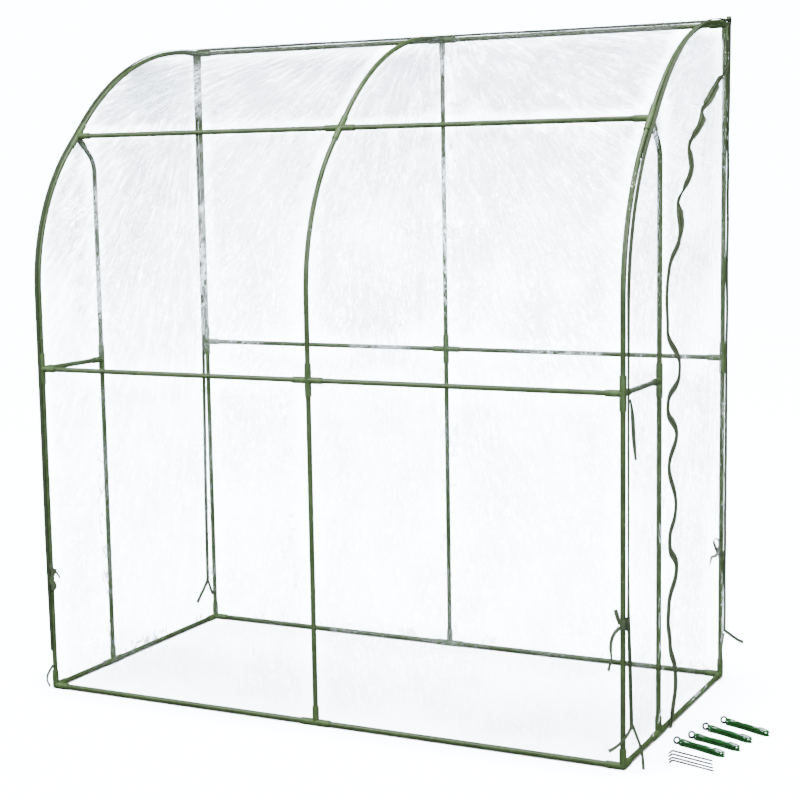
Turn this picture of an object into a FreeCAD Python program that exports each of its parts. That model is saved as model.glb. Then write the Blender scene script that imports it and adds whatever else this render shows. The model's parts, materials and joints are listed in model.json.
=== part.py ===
"""Lean-to greenhouse: green steel tubes in moulded push-fit fittings, under a clear film cover with one zipped door.

Millimetres. X runs along the wall, Y towards it, Z up. The origin is on the floor under the wall-side middle fitting.
"""
import FreeCAD
import Part
import math
import os
import re
import Sketcher
from FreeCAD import Placement, Rotation, Vector

doc = FreeCAD.newDocument("LeanToGreenhouse")

# Driving dimensions: name, value, what it is
SIZES = [
    ("frame_length", 1980, "between the centre-lines of the end uprights"),
    ("frame_depth", 985, "between the centre-lines of the front and rear uprights"),
    ("ridge_height", 2120, "from the base tubes' centre-line to the ridge's"),
    ("middle_height", 1058, "from the base tubes' centre-line to the middle fittings"),
    ("lower_arch_radius", 650, "bend of the lower arch tube's centre-line"),
    ("arch_tip", 64, "straight end of an arch tube, from the fitting's centre"),
    ("post_depth", 322, "door post's centre-line behind the front uprights"),
    ("post_bend_radius", 80, "bend of the door post's centre-line"),
    ("tube_diameter", 16, "outside of every frame tube"),
    ("tube_wall", 0.6, "wall of every frame tube"),
    ("fitting_diameter", 21, "outside of a fitting's arm"),
    ("arm_length", 50, "from a fitting's centre to the mouth of an arm"),
    ("socket_stop", 13, "from a fitting's centre to the bottom of a socket"),
    ("socket_clearance", 0.15, "gap round a tube in its socket"),
    ("tube_end_gap", 0.4, "gap between a tube's end and the bottom of its socket"),
    ("mouth_chamfer", 0.8, "chamfer inside and outside an arm's mouth"),
    ("web_leg", 21, "from a fitting's centre to the tip of a web along an arm"),
    ("web_thickness", 4, "web between two arms of a fitting"),
    ("foot_flat", 0.5, "depth of the flat under a base fitting"),
    ("cover_gap", 0.3, "between the fittings and the film over them"),
    ("film_thickness", 1.0, "film of the cover, as a closed solid"),
    ("hem_height", 2, "bottom edge of the film above the floor"),
    ("edge_tape_width", 11, "folded tape that stands out along a seam"),
    ("edge_tape_thickness", 1.6, "folded tape, through both layers"),
    ("edge_tape_bottom", 128, "lower end of the front folded tapes above the floor"),
    ("rear_tape_bottom", 152, "lower end of the rear folded tapes above the floor"),
    ("door_drop", 127, "door's top corner at the hinge, under the ridge's centre-line"),
    ("door_bottom", 20, "lower edge of the door flap, which swings clear over the loose ropes"),
    ("hinge_gap", 0.4, "between the hinge line and the flap's edge"),
    ("zip_gap", 0.5, "between the two halves of the zip"),
    ("zip_tape_width", 13, "one half of the zip's tape"),
    ("zip_tape_thickness", 1.2, "the zip's tape and teeth"),
    ("slider_width", 11, "zip slider"),
    ("slider_length", 16, "zip slider"),
    ("slider_thickness", 4, "zip slider"),
    ("pull_length", 34, "tab of the zip slider"),
    ("pull_thickness", 1.6, "tab of the zip slider"),
    ("ribbon_width", 9, "tie ribbon"),
    ("ribbon_thickness", 0.8, "tie ribbon, and a tail"),
    ("front_tie_height", 388, "tie round the right front upright, above the floor"),
    ("front_tie_tail", 190, "loose end of the tie round the right front upright"),
    ("left_tie_height", 358, "tie round the left front upright, above the floor"),
    ("left_tie_tail", 45, "loose end of the tie round the left front upright"),
    ("rear_tie_height", 416, "tie round the right rear upright, above the floor"),
    ("rear_tie_tail", 60, "loose end of the tie round the right rear upright"),
    ("side_tie_place", 105, "tie round the right middle side rail, behind the front upright"),
    ("side_tie_tail", 175, "loose end of the tie round the side rail"),
    ("tail_width", 5, "tail at the lower end of a folded tape"),
    ("rope_diameter", 2.8, "guy rope"),
    ("rope_gap", 0.5, "between neighbouring turns at a hank's waist"),
    ("hank_run", 142, "between the end loops of a hank"),
    ("ring_diameter", 20, "outside of a rope's ring"),
    ("ring_wire", 2.5, "wire of a rope's ring"),
    ("peg_wire", 3.6, "wire of a ground peg"),
    ("peg_length", 136, "shank of a ground peg"),
    ("peg_leg", 23, "bent end of a ground peg"),
    ("peg_bend_radius", 6, "bend of a ground peg's centre-line"),
]

# Worked out from the driving dimensions: name, formula
DERIVED = [
    ("base_height", "fitting_diameter / 2 - foot_flat"),
    ("socket_depth", "arm_length - socket_stop"),
    ("tube_inset", "socket_stop + tube_end_gap"),
    ("lower_arch_reach", "lower_arch_radius * (1 - cos(45)) + arch_tip * sin(45)"),
    ("upper_arch_radius", "(frame_depth - lower_arch_reach - arch_tip * (1 + cos(45))) / sin(45)"),
    ("upper_arch_rise", "arch_tip * sin(45) + upper_arch_radius * (1 - cos(45))"),
    ("arch_joint_height", "ridge_height - upper_arch_rise"),
    ("arch_straight", "arch_joint_height - middle_height - (lower_arch_radius + arch_tip) * sin(45)"),
    ("bay_length", "frame_length / 2"),
    ("film_inside", "fitting_diameter / 2 + cover_gap"),
    ("film_outside", "film_inside + film_thickness"),
    ("film_middle", "film_inside + film_thickness / 2"),
    ("cover_half_length", "frame_length / 2 + film_outside"),
    ("door_height", "base_height + ridge_height - door_drop"),
    ("doorway_width", "frame_depth - post_depth"),
    ("rope_step", "rope_diameter + rope_gap"),
]

FRONT = "-frame_depth"
SIDES = {"left": -1, "right": 1}
PROFILES = {"left": -1, "middle": 0, "right": 1}
UP = Vector(0, 0, 1)
ALONG = Vector(1, 0, 0)
BACK = Vector(0, 1, 0)
SLOPE = Vector(0, math.sqrt(0.5), math.sqrt(0.5))
ACROSS_SLOPE = Vector(0, math.sqrt(0.5), -math.sqrt(0.5))

# A hank is this much narrower at its waist than at its ends, and has so many layers of turns
WAIST = 0.8
HANK_LAYERS = 5

# Degrees that a ring leans up from the floor, against its rope
RING_LEAN = 60

# Where each hank's ring lies and each peg's point, beyond the right end and behind the front, and its turn
HANK_PLACES = [(72, 275, -21), (97, 341, -20), (113, 433, -23), (145, 516, -24)]
PEG_PLACES = [(212, 164, -17), (220, 136, -17), (229, 108, -17), (237, 85, -17)]

# The puckered zip, from the floor up and back to the hinge: share of the doorway's width behind the door post,
# share of the door's height
ZIP_ROUTE = [
    (0.133, 0.001), (0.133, 0.020), (0.187, 0.066), (0.097, 0.135), (0.081, 0.192),
    (0.188, 0.242), (0.081, 0.290), (0.187, 0.331), (0.087, 0.405), (0.178, 0.447),
    (0.060, 0.494), (0.232, 0.537), (0.063, 0.607), (0.075, 0.694), (0.223, 0.741),
    (0.196, 0.785), (0.380, 0.838), (0.359, 0.868), (0.502, 0.901), (0.570, 0.927),
    (0.796, 0.969), (1.0, 1.0),
]


def make_sizes():
    """The sheet of driving dimensions, and the values that follow from them."""
    sheet = doc.addObject("Spreadsheet::Sheet", "Sizes")
    for row, (name, number, meaning) in enumerate(SIZES, 1):
        sheet.set(f"A{row}", name)
        sheet.set(f"B{row}", str(number))
        sheet.set(f"C{row}", meaning)
        sheet.setAlias(f"B{row}", name)
    derived = doc.addObject("App::VarSet", "Derived")
    doc.recompute()
    for name, formula in DERIVED:
        derived.addProperty("App::PropertyFloat", name, "Derived")
        derived.setExpression(name, bound(formula))
    doc.recompute()
    return sheet


def bound(formula):
    """The formula with each size named as the document knows it."""
    return re.sub(r"[a-z]+(?:_[a-z]+)+", lambda word: OWNER[word.group()] + "." + word.group(), str(formula))


OWNER = {name: "Sizes" for name, _, _ in SIZES}
OWNER.update({name: "Derived" for name, _ in DERIVED})
SHEET = make_sizes()


def value(formula):
    """What a formula of sizes comes to now."""
    return float(SHEET.evalExpression(bound(formula)))


def drive(thing, prop, formula):
    """Binds a property to a formula of sizes."""
    thing.setExpression(prop, bound(formula))


def put(thing, where, turn=Rotation()):
    """Places an object: where holds three formulas."""
    thing.Placement = Placement(Vector(*[value(formula) for formula in where]), turn)
    for axis, formula in zip("xyz", where):
        drive(thing, f".Placement.Base.{axis}", formula)
    return thing


def turn_z(degrees):
    return Rotation(UP, degrees)


# Sketches


def new_sketch(body, plane):
    sketch = body.newObject("Sketcher::SketchObject", "Sketch")
    origin = next(item for item in body.Origin.OriginFeatures if item.Role == plane)
    sketch.AttachmentSupport = [(origin, "")]
    sketch.MapMode = "FlatFace"
    return sketch


def constrain(sketch, kind, *what):
    return sketch.addConstraint(Sketcher.Constraint(kind, *what))


def dimension(sketch, kind, what, formula):
    """A dimension bound to a formula of sizes."""
    drive(sketch, f"Constraints[{constrain(sketch, kind, *what, value(formula))}]", formula)


def circle(sketch, radius):
    round_edge = sketch.addGeometry(Part.Circle(Vector(), UP, value(radius)))
    constrain(sketch, "Coincident", round_edge, 3, -1, 1)
    dimension(sketch, "Radius", (round_edge,), radius)


def rectangle(sketch, width, height):
    """A rectangle about the sketch's origin."""
    x, y = value(width) / 2, value(height) / 2
    corners = [Vector(-x, -y), Vector(x, -y), Vector(x, y), Vector(-x, y)]
    sides = [sketch.addGeometry(Part.LineSegment(a, b)) for a, b in zip(corners, corners[1:] + corners[:1])]
    for side, following in zip(sides, sides[1:] + sides[:1]):
        constrain(sketch, "Coincident", side, 2, following, 1)
    for side, way in zip(sides, ("Horizontal", "Vertical", "Horizontal", "Vertical")):
        constrain(sketch, way, side)
    constrain(sketch, "Symmetric", sides[0], 1, sides[2], 1, -1, 1)
    dimension(sketch, "Distance", (sides[0],), width)
    dimension(sketch, "Distance", (sides[1],), height)


def polygon(sketch, corners):
    """A closed outline through corners given as pairs of formulas."""
    spots = [Vector(value(x), value(y)) for x, y in corners]
    sides = [sketch.addGeometry(Part.LineSegment(a, b)) for a, b in zip(spots, spots[1:] + spots[:1])]
    for index, (side, (x, y)) in enumerate(zip(sides, corners)):
        constrain(sketch, "Coincident", side, 1, sides[index - 1], 2)
        for kind, formula, axis in (("DistanceX", x, -2), ("DistanceY", y, -1)):
            if formula == 0:
                constrain(sketch, "PointOnObject", side, 1, axis)
            else:
                dimension(sketch, kind, (-1, 1, side, 1), formula)


def run(sketch, heading, moves):
    """A run of tangent lines and arcs from the sketch's origin.

    moves holds ("line", length) and ("arc", radius, turn), the turn in degrees to the left. Returns the last line.
    """
    spot, last = Vector(), None
    for move in moves:
        ahead = Vector(math.cos(math.radians(heading)), math.sin(math.radians(heading)))
        if move[0] == "line":
            target = spot + ahead * value(move[1])
            piece, start, end = sketch.addGeometry(Part.LineSegment(spot, target)), 1, 2
        else:
            radius, turn = value(move[1]), move[2]
            side = math.copysign(1, turn)
            centre = spot + Vector(-ahead.y, ahead.x) * radius * side
            angles = [heading - 90 * side, heading - 90 * side + turn]
            low, high = (math.radians(angle) for angle in sorted(angles))
            arc = Part.ArcOfCircle(Part.Circle(centre, UP, radius), low, high)
            start, end = (1, 2) if turn > 0 else (2, 1)
            target = arc.EndPoint if turn > 0 else arc.StartPoint
            piece = sketch.addGeometry(arc)
            heading += turn
        if last is None:
            constrain(sketch, "Coincident", piece, start, -1, 1)
        else:
            constrain(sketch, "Tangent", *last, piece, start)
        if move[0] == "line":
            constrain(sketch, "Angle", piece, math.radians(heading))
            dimension(sketch, "Distance", (piece,), move[1])
        else:
            dimension(sketch, "Radius", (piece,), move[1])
        spot, last = target, (piece, end)
    return last[0], spot


# Frame tubes


def ring(sketch):
    circle(sketch, "tube_diameter / 2")
    circle(sketch, "tube_diameter / 2 - tube_wall")


def straight_tube(label, where, turn, length):
    """A tube from one fitting's centre to the next, less what the sockets' bottoms take."""
    body = doc.addObject("PartDesign::Body", label)
    section = new_sketch(body, "XY_Plane")
    ring(section)
    wall = body.newObject("PartDesign::Pad", "Wall")
    wall.Profile = section
    drive(wall, "Length", f"{length} - 2 * tube_inset")
    along = turn.multVec(UP)
    start = [f"{formula} + {share} * tube_inset" for formula, share in zip(where, along)]
    return put(body, start, turn)


def bent_tube(label, where, plane, heading, moves):
    """A tube bent in the YZ plane, from a start point with its end square to the given plane."""
    body = doc.addObject("PartDesign::Body", label)
    section = new_sketch(body, plane)
    ring(section)
    path = new_sketch(body, "YZ_Plane")
    run(path, heading, moves)
    pipe = body.newObject("PartDesign::AdditivePipe", "Wall")
    pipe.Profile = section
    pipe.Spine = (path, [])
    return put(body, where)


TO_RIGHT = Rotation(UP, ALONG)
TO_WALL = Rotation(UP, BACK)
UPRIGHT = Rotation()


def frame_tubes():
    nodes = []
    for name, side in PROFILES.items():
        x = f"{side} * bay_length"
        nodes += [
            straight_tube(f"front_upright_{name}", (x, FRONT, "base_height"), UPRIGHT, "middle_height"),
            straight_tube(f"rear_upright_lower_{name}", (x, "0", "base_height"), UPRIGHT, "middle_height"),
            straight_tube(
                f"rear_upright_upper_{name}",
                (x, "0", "base_height + middle_height"),
                UPRIGHT,
                "(ridge_height - middle_height)",
            ),
            bent_tube(
                f"arch_lower_{name}",
                (x, FRONT, "base_height + middle_height + tube_inset"),
                "XY_Plane",
                90,
                [
                    ("line", "arch_straight - tube_inset"),
                    ("arc", "lower_arch_radius", -45),
                    ("line", "arch_tip - tube_inset"),
                ],
            ),
            bent_tube(
                f"arch_upper_{name}",
                (x, "-tube_inset", "base_height + ridge_height"),
                "XZ_Plane",
                180,
                [
                    ("line", "arch_tip - tube_inset"),
                    ("arc", "upper_arch_radius", 45),
                    ("line", "arch_tip - tube_inset"),
                ],
            ),
        ]
    rails = {
        "base_rails_front": (FRONT, "base_height"),
        "base_rails_rear": ("0", "base_height"),
        "middle_rails_front": (FRONT, "base_height + middle_height"),
        "middle_rails_rear": ("0", "base_height + middle_height"),
        "arch_rails": ("lower_arch_reach - frame_depth", "base_height + arch_joint_height"),
        "ridge_rails": ("0", "base_height + ridge_height"),
    }
    for label, (y, z) in rails.items():
        bays = [
            straight_tube(f"{label}_bay", (start, y, z), TO_RIGHT, "bay_length")
            for start in ("-bay_length", "0")
        ]
        nodes.append(group(label, bays))
    for name, side in SIDES.items():
        nodes += end_tubes(name, f"{side} * bay_length")
    return nodes


def end_tubes(name, x):
    """The tubes of one end: base side rails, door post and short side rail."""
    post_y = "post_depth - frame_depth"
    # the door post leans forward at 45 degrees into the diagonal arm of the arch fitting
    lean = "(post_depth - lower_arch_reach - post_bend_radius * (1 - cos(45))) / sin(45)"
    rise = f"(arch_joint_height - middle_height - (post_bend_radius + {lean}) * sin(45))"
    return [
        straight_tube(f"base_side_rail_front_{name}", (x, FRONT, "base_height"), TO_WALL, "post_depth"),
        straight_tube(f"base_side_rail_rear_{name}", (x, post_y, "base_height"), TO_WALL, "doorway_width"),
        straight_tube(
            f"middle_side_rail_{name}", (x, FRONT, "base_height + middle_height"), TO_WALL, "post_depth"
        ),
        straight_tube(f"door_post_lower_{name}", (x, post_y, "base_height"), UPRIGHT, "middle_height"),
        bent_tube(
            f"door_post_upper_{name}",
            (x, post_y, "base_height + middle_height + tube_inset"),
            "XY_Plane",
            90,
            [
                ("line", f"{rise} - tube_inset"),
                ("arc", "post_bend_radius", 45),
                ("line", f"{lean} - tube_inset"),
            ],
        ),
    ]


def group(label, members):
    whole = doc.addObject("Part::Compound", label)
    whole.Links = members
    return whole


# Moulded fittings


def revolved(label, corners):
    """A body turned about Z from a half outline of (radius, height) corners."""
    body = doc.addObject("PartDesign::Body", label)
    outline = new_sketch(body, "XZ_Plane")
    polygon(outline, corners)
    turned = body.newObject("PartDesign::Revolution", "Turned")
    turned.Profile = outline
    turned.ReferenceAxis = (outline, ["V_Axis"])
    turned.Angle = 360
    return body


def arm_outside():
    """The outside of one arm, from the fitting's centre to its chamfered mouth."""
    radius = "fitting_diameter / 2"
    return revolved(
        "ArmOutside",
        [
            (0, 0),
            (radius, 0),
            (radius, "arm_length - mouth_chamfer"),
            (f"{radius} - mouth_chamfer", "arm_length"),
            (0, "arm_length"),
        ],
    )


def arm_socket():
    """The bore of one arm, from its bottom to its chamfered mouth."""
    radius = "tube_diameter / 2 + socket_clearance"
    return revolved(
        "ArmSocket",
        [
            (0, 0),
            (radius, 0),
            (radius, "socket_depth - mouth_chamfer"),
            (f"{radius} + mouth_chamfer", "socket_depth"),
            (0, "socket_depth"),
        ],
    )


ARM = arm_outside()
SOCKET = arm_socket()


def link(source, where=None, turn=Rotation()):
    copy = doc.addObject("App::Link", source.Label + "Copy")
    copy.LinkedObject = source
    if where:
        return put(copy, where, turn)
    copy.Placement = Placement(Vector(), turn)
    return copy


def web(first, second):
    """A thin triangular web between two arms at right angles."""
    plate = doc.addObject("Part::Wedge", "Web")
    plate.Xmin = plate.Ymin = plate.X2min = plate.X2max = 0
    for prop in ("Xmax", "Ymax"):
        drive(plate, prop, "web_leg")
    for prop in ("Zmin", "Z2min"):
        drive(plate, prop, "-web_thickness / 2")
    for prop in ("Zmax", "Z2max"):
        drive(plate, prop, "web_thickness / 2")
    plate.Placement.Rotation = Rotation(first, second, first.cross(second), "XYZ")
    return plate


def fitting(label, arms, foot=False):
    """A moulded fitting about its own centre: arms with a web in each corner, round the hub, bored for the tubes."""
    hub = doc.addObject("Part::Sphere", "Hub")
    drive(hub, "Radius", "fitting_diameter / 2")
    outsides = [link(ARM, turn=Rotation(UP, arm)) for arm in arms]
    webs = [
        web(first, second)
        for index, first in enumerate(arms)
        for second in arms[index + 1:]
        if abs(first.dot(second)) < 0.1
    ]
    outside = doc.addObject("Part::MultiFuse", "Outside")
    outside.Shapes = [hub] + outsides + webs
    cuts = [
        link(SOCKET, [f"{share} * socket_stop" for share in arm], Rotation(UP, arm)) for arm in arms
    ]
    if foot:
        cuts.append(foot_cut())
    sockets = doc.addObject("Part::MultiFuse", "Sockets")
    sockets.Shapes = cuts
    bored = doc.addObject("Part::Cut", label)
    bored.Base = outside
    bored.Tool = sockets
    return bored


def foot_cut():
    """What is taken off under a base fitting to make its flat foot."""
    block = doc.addObject("Part::Box", "FootCut")
    drive(block, "Length", "3 * arm_length")
    drive(block, "Width", "3 * arm_length")
    drive(block, "Height", "fitting_diameter")
    return put(block, ("-1.5 * arm_length", "-1.5 * arm_length", "-base_height - fitting_diameter"))


def fittings():
    """One mould of each kind, and its copies where the frame has them."""
    base, middle = "base_height", "base_height + middle_height"
    arch, ridge = "base_height + arch_joint_height", "base_height + ridge_height"
    arch_y, post_y = "lower_arch_reach - frame_depth", "post_depth - frame_depth"
    left, right = "-bay_length", "bay_length"
    kinds = {
        "base_corner_fittings": (
            fitting("BaseCorner", [ALONG, BACK, UP], foot=True),
            [
                ((left, FRONT, base), Rotation()),
                ((right, FRONT, base), turn_z(90)),
                ((right, "0", base), turn_z(180)),
                ((left, "0", base), turn_z(-90)),
            ],
        ),
        "base_tee_fittings": (
            fitting("BaseTee", [ALONG, -ALONG, UP], foot=True),
            [
                (("0", FRONT, base), Rotation()),
                (("0", "0", base), Rotation()),
                ((left, post_y, base), turn_z(90)),
                ((right, post_y, base), turn_z(90)),
            ],
        ),
        "side_cross_fittings": (
            fitting("SideCross", [UP, -UP, ALONG, BACK]),
            [((left, FRONT, middle), Rotation()), ((right, FRONT, middle), turn_z(90))],
        ),
        "middle_cross_fittings": (
            fitting("MiddleCross", [UP, -UP, ALONG, -ALONG]),
            [(("0", FRONT, middle), Rotation()), (("0", "0", middle), Rotation())],
        ),
        "upright_tee_fittings": (
            fitting("UprightTee", [UP, -UP, ALONG]),
            [
                ((left, "0", middle), Rotation()),
                ((right, "0", middle), turn_z(180)),
                ((left, post_y, middle), turn_z(-90)),
                ((right, post_y, middle), turn_z(-90)),
            ],
        ),
        "ridge_corner_fittings": (
            fitting("RidgeCorner", [ALONG, -BACK, -UP]),
            [((left, "0", ridge), Rotation()), ((right, "0", ridge), turn_z(-90))],
        ),
        "ridge_middle_fitting": (
            fitting("RidgeMiddle", [ALONG, -ALONG, -BACK, -UP]),
            [(("0", "0", ridge), Rotation())],
        ),
        "arch_end_fittings": (
            fitting("ArchEnd", [SLOPE, -SLOPE, ALONG, ACROSS_SLOPE]),
            [((left, arch_y, arch), Rotation()), ((right, arch_y, arch), Rotation(ACROSS_SLOPE, 180))],
        ),
        "arch_middle_fitting": (
            fitting("ArchMiddle", [SLOPE, -SLOPE, ALONG, -ALONG]),
            [(("0", arch_y, arch), Rotation())],
        ),
    }
    return [
        group(label, [link(mould, where, turn) for where, turn in places])
        for label, (mould, places) in kinds.items()
    ]


# Film cover


def cover_run(offset, bottom):
    """The cover's line up the front and over the roof, at an offset outside the frame's centre-lines."""
    return [
        ("line", f"base_height + middle_height + arch_straight - {bottom}"),
        ("arc", f"lower_arch_radius + {offset}", -45),
        ("line", "2 * arch_tip"),
        ("arc", f"upper_arch_radius + {offset}", -45),
    ]


def swept_strip(label, x, width, thickness, bottom, end):
    """A strip that follows the cover's line, centred on the film: end is where it stops behind the ridge."""
    body = doc.addObject("PartDesign::Body", label)
    section = new_sketch(body, "XY_Plane")
    rectangle(section, width, thickness)
    path = new_sketch(body, "YZ_Plane")
    run(path, 90, cover_run("film_middle", bottom) + [("line", f"arch_tip + {end}")])
    strip = body.newObject("PartDesign::AdditivePipe", "Strip")
    strip.Profile = section
    strip.Spine = (path, [])
    return put(body, (x, "-frame_depth - film_middle", bottom))


def sheet_pad(label, plane, corners, thickness, where):
    """A flat sheet of constant thickness from corners given as pairs of formulas."""
    body = doc.addObject("PartDesign::Body", label)
    outline = new_sketch(body, plane)
    polygon(outline, corners)
    pad = body.newObject("PartDesign::Pad", "Sheet")
    pad.Profile = outline
    drive(pad, "Length", thickness)
    return put(body, where)


def end_outline(label, x):
    """A whole end panel: it fits inside the front, roof and back sheets."""
    body = doc.addObject("PartDesign::Body", label)
    outline = new_sketch(body, "YZ_Plane")
    offset = "fitting_diameter / 2"
    last, spot = run(
        outline, 90, cover_run(offset, "hem_height") + [("line", f"arch_tip + {offset}")]
    )
    down = outline.addGeometry(Part.LineSegment(spot, Vector(spot.x, 0)))
    home = outline.addGeometry(Part.LineSegment(Vector(spot.x, 0), Vector()))
    constrain(outline, "Coincident", last, 2, down, 1)
    constrain(outline, "Coincident", down, 2, home, 1)
    constrain(outline, "Coincident", home, 2, -1, 1)
    constrain(outline, "Vertical", down)
    constrain(outline, "Horizontal", home)
    pad = body.newObject("PartDesign::Pad", "Sheet")
    pad.Profile = outline
    drive(pad, "Length", "film_thickness")
    return put(body, (x, f"-frame_depth - {offset}", "hem_height"))


def zip_line(shift, bottom="hem_height", hinge_y=0):
    """The zip's line in the end panel's plane, shifted square to itself, towards the hinge where positive."""
    width, height = value("doorway_width"), value("door_height")
    spots = [Vector(0, (share - 1) * width, rise * height) for share, rise in ZIP_ROUTE]
    spots[0].z = value(bottom)
    shifted = []
    for index, spot in enumerate(spots):
        before, after = spots[max(index - 1, 0)], spots[min(index + 1, len(spots) - 1)]
        ahead = BACK if index == len(spots) - 1 else (after - before).normalize()
        shifted.append(spot + Vector(0, ahead.z, -ahead.y) * shift)
    shifted[-1].y = hinge_y
    curve = Part.BSplineCurve()
    curve.interpolate(shifted)
    return curve.toShape()


def joined(edges):
    """A face inside a closed run of edges."""
    return Part.Face(Part.Wire(Part.__sortEdges__(edges)))


def behind_zip(shift, bottom="hem_height", hinge_y=0):
    """The region of the end panel's plane between the zip and the hinge line."""
    front = zip_line(shift, bottom, hinge_y)
    low, top = front.valueAt(front.FirstParameter), front.valueAt(front.LastParameter)
    corner = Vector(0, hinge_y, low.z)
    return joined([front, Part.makeLine(top, corner), Part.makeLine(corner, low)])


def zip_band(near, far, hinge_y=0):
    """A band along the zip between two shifts."""
    one, other = zip_line(near, hinge_y=hinge_y), zip_line(far, hinge_y=hinge_y)
    low = Part.makeLine(one.valueAt(one.FirstParameter), other.valueAt(other.FirstParameter))
    top = Part.makeLine(one.valueAt(one.LastParameter), other.valueAt(other.LastParameter))
    return joined([one, other, low, top])


def plain_feature(label, shape, where):
    """A piece of free outline, whose shape is drawn from the sheet's sizes."""
    piece = doc.addObject("Part::Feature", label)
    piece.Shape = shape
    return put(piece, where)


def above_bottom(shape):
    """What is left of a piece of the door above the door's lower edge."""
    width, bottom = value("frame_depth"), value("door_bottom")
    return shape.cut(Part.makeBox(width, 2 * width, bottom, Vector(-width / 2, -width, 0)))


def door_and_right_panel():
    """The right end panel with its door opening, the door flap and the zip's two halves."""
    inside, outside = "bay_length + film_inside", "bay_length + film_outside"
    film, tape = ALONG * value("film_thickness"), ALONG * value("zip_tape_thickness")
    half_gap, width = value("zip_gap") / 2, value("zip_tape_width")
    hinge_y = -value("hinge_gap")
    panel = doc.addObject("Part::Cut", "right_end_panel")
    panel.Base = end_outline("RightEndWhole", inside)
    panel.Tool = plain_feature(
        "DoorOpening",
        behind_zip(-half_gap, "0 * hem_height").extrude(film * 3),
        (f"{inside} - film_thickness", "0", "0"),
    )
    pieces = {
        "door_flap": (above_bottom(behind_zip(half_gap, hinge_y=hinge_y).extrude(film)), inside),
        "zip_tape_panel": (zip_band(-half_gap, -half_gap - width).extrude(tape), outside),
        "zip_tape_door": (above_bottom(zip_band(half_gap, half_gap + width, hinge_y).extrude(tape)), outside),
    }
    nodes = [plain_feature(label, shape, (x, "0", "0")) for label, (shape, x) in pieces.items()]
    return [panel] + nodes


def zip_slider():
    """The slider on the panel's half of the zip, with its hanging tab."""
    face = "bay_length + film_outside + zip_tape_thickness + cover_gap"
    rear_edge = f"{ZIP_ROUTE[0][0] - 1} * doorway_width - zip_gap / 2"
    low = "hem_height + pull_length + 3 * cover_gap"
    shell = doc.addObject("Part::Box", "SliderShell")
    drive(shell, "Length", "slider_thickness")
    drive(shell, "Width", "slider_width")
    drive(shell, "Height", "slider_length")
    put(shell, (face, f"{rear_edge} - slider_width", low))
    tab = doc.addObject("Part::Box", "SliderTab")
    drive(tab, "Length", "pull_thickness")
    drive(tab, "Width", "slider_width / 2")
    drive(tab, "Height", "pull_length")
    put(
        tab,
        (f"{face} + slider_thickness - pull_thickness", f"{rear_edge} - 0.75 * slider_width",
         f"{low} - pull_length + slider_length / 4"),
    )
    slider = doc.addObject("Part::MultiFuse", "zip_slider")
    slider.Shapes = [shell, tab]
    return slider


def cover():
    """Sheets, door, zip and edge tapes."""
    top = "base_height + ridge_height"
    nodes = [
        swept_strip("front_roof_sheet", "0", "2 * cover_half_length", "film_thickness", "hem_height", "film_inside"),
        sheet_pad(
            "back_sheet",
            "XZ_Plane",
            [
                ("-cover_half_length", 0),
                ("cover_half_length", 0),
                ("cover_half_length", f"{top} + film_outside - hem_height"),
                ("-cover_half_length", f"{top} + film_outside - hem_height"),
            ],
            "film_thickness",
            ("0", "film_outside", "hem_height"),
        ),
        end_outline("left_end_panel", "-bay_length - film_outside"),
    ]
    nodes += door_and_right_panel() + [zip_slider()]
    for name, side in SIDES.items():
        centre = f"{side} * (cover_half_length + edge_tape_width / 2)"
        over = swept_strip(
            f"edge_tape_{name}_over",
            centre,
            "edge_tape_width",
            "edge_tape_thickness",
            "edge_tape_bottom",
            "film_outside - edge_tape_thickness - cover_gap",
        )
        rear = doc.addObject("Part::Box", f"edge_tape_{name}_rear")
        drive(rear, "Length", "edge_tape_width")
        drive(rear, "Width", "edge_tape_thickness")
        drive(rear, "Height", f"{top} + film_outside - rear_tape_bottom")
        put(
            rear,
            (f"{centre} - edge_tape_width / 2", "film_outside - edge_tape_thickness", "rear_tape_bottom"),
        )
        nodes.append(group(f"edge_tape_{name}", [over, rear]))
    ridge = doc.addObject("Part::Box", "edge_tape_ridge")
    drive(ridge, "Length", "2 * (cover_half_length + edge_tape_width)")
    drive(ridge, "Width", "edge_tape_thickness")
    drive(ridge, "Height", "edge_tape_width")
    put(
        ridge,
        ("-cover_half_length - edge_tape_width", "film_outside - edge_tape_thickness", f"{top} + film_outside"),
    )
    return nodes + [ridge]


# Ribbons


def strip(start, middle, end, depth_way, width, depth):
    """A strip along an arc: width is across it in the arc's plane, depth runs along depth_way from the arc."""
    away = (end - start).cross(depth_way).normalize() * (width / 2)
    sides = [Part.Arc(start + away * way, middle + away * way, end + away * way).toShape() for way in (1, -1)]
    ends = [Part.makeLine(spot + away, spot - away) for spot in (start, end)]
    return joined(sides + ends).extrude(depth_way * depth)


def tie(centre, way, inward, length):
    """A tie's turn round a tube that runs along way, and its tail, which hangs on the inward side."""
    inner = value("tube_diameter / 2 + socket_clearance")
    outer = inner + 2 * value("ribbon_thickness")
    width = value("ribbon_width")
    low = centre - way * (width / 2)
    turn = Part.makeCylinder(outer, width, low, way).cut(Part.makeCylinder(inner, width, low, way))
    top = centre + inward * (outer + value("cover_gap + ribbon_thickness / 2"))
    bulge = top + inward * (0.1 * length) - UP * (length / 2)
    across = inward.cross(UP)
    tail = strip(top, bulge, top - UP * length, across, value("ribbon_thickness"), width)
    tail.translate(across * (-width / 2))
    return [turn, tail]


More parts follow.
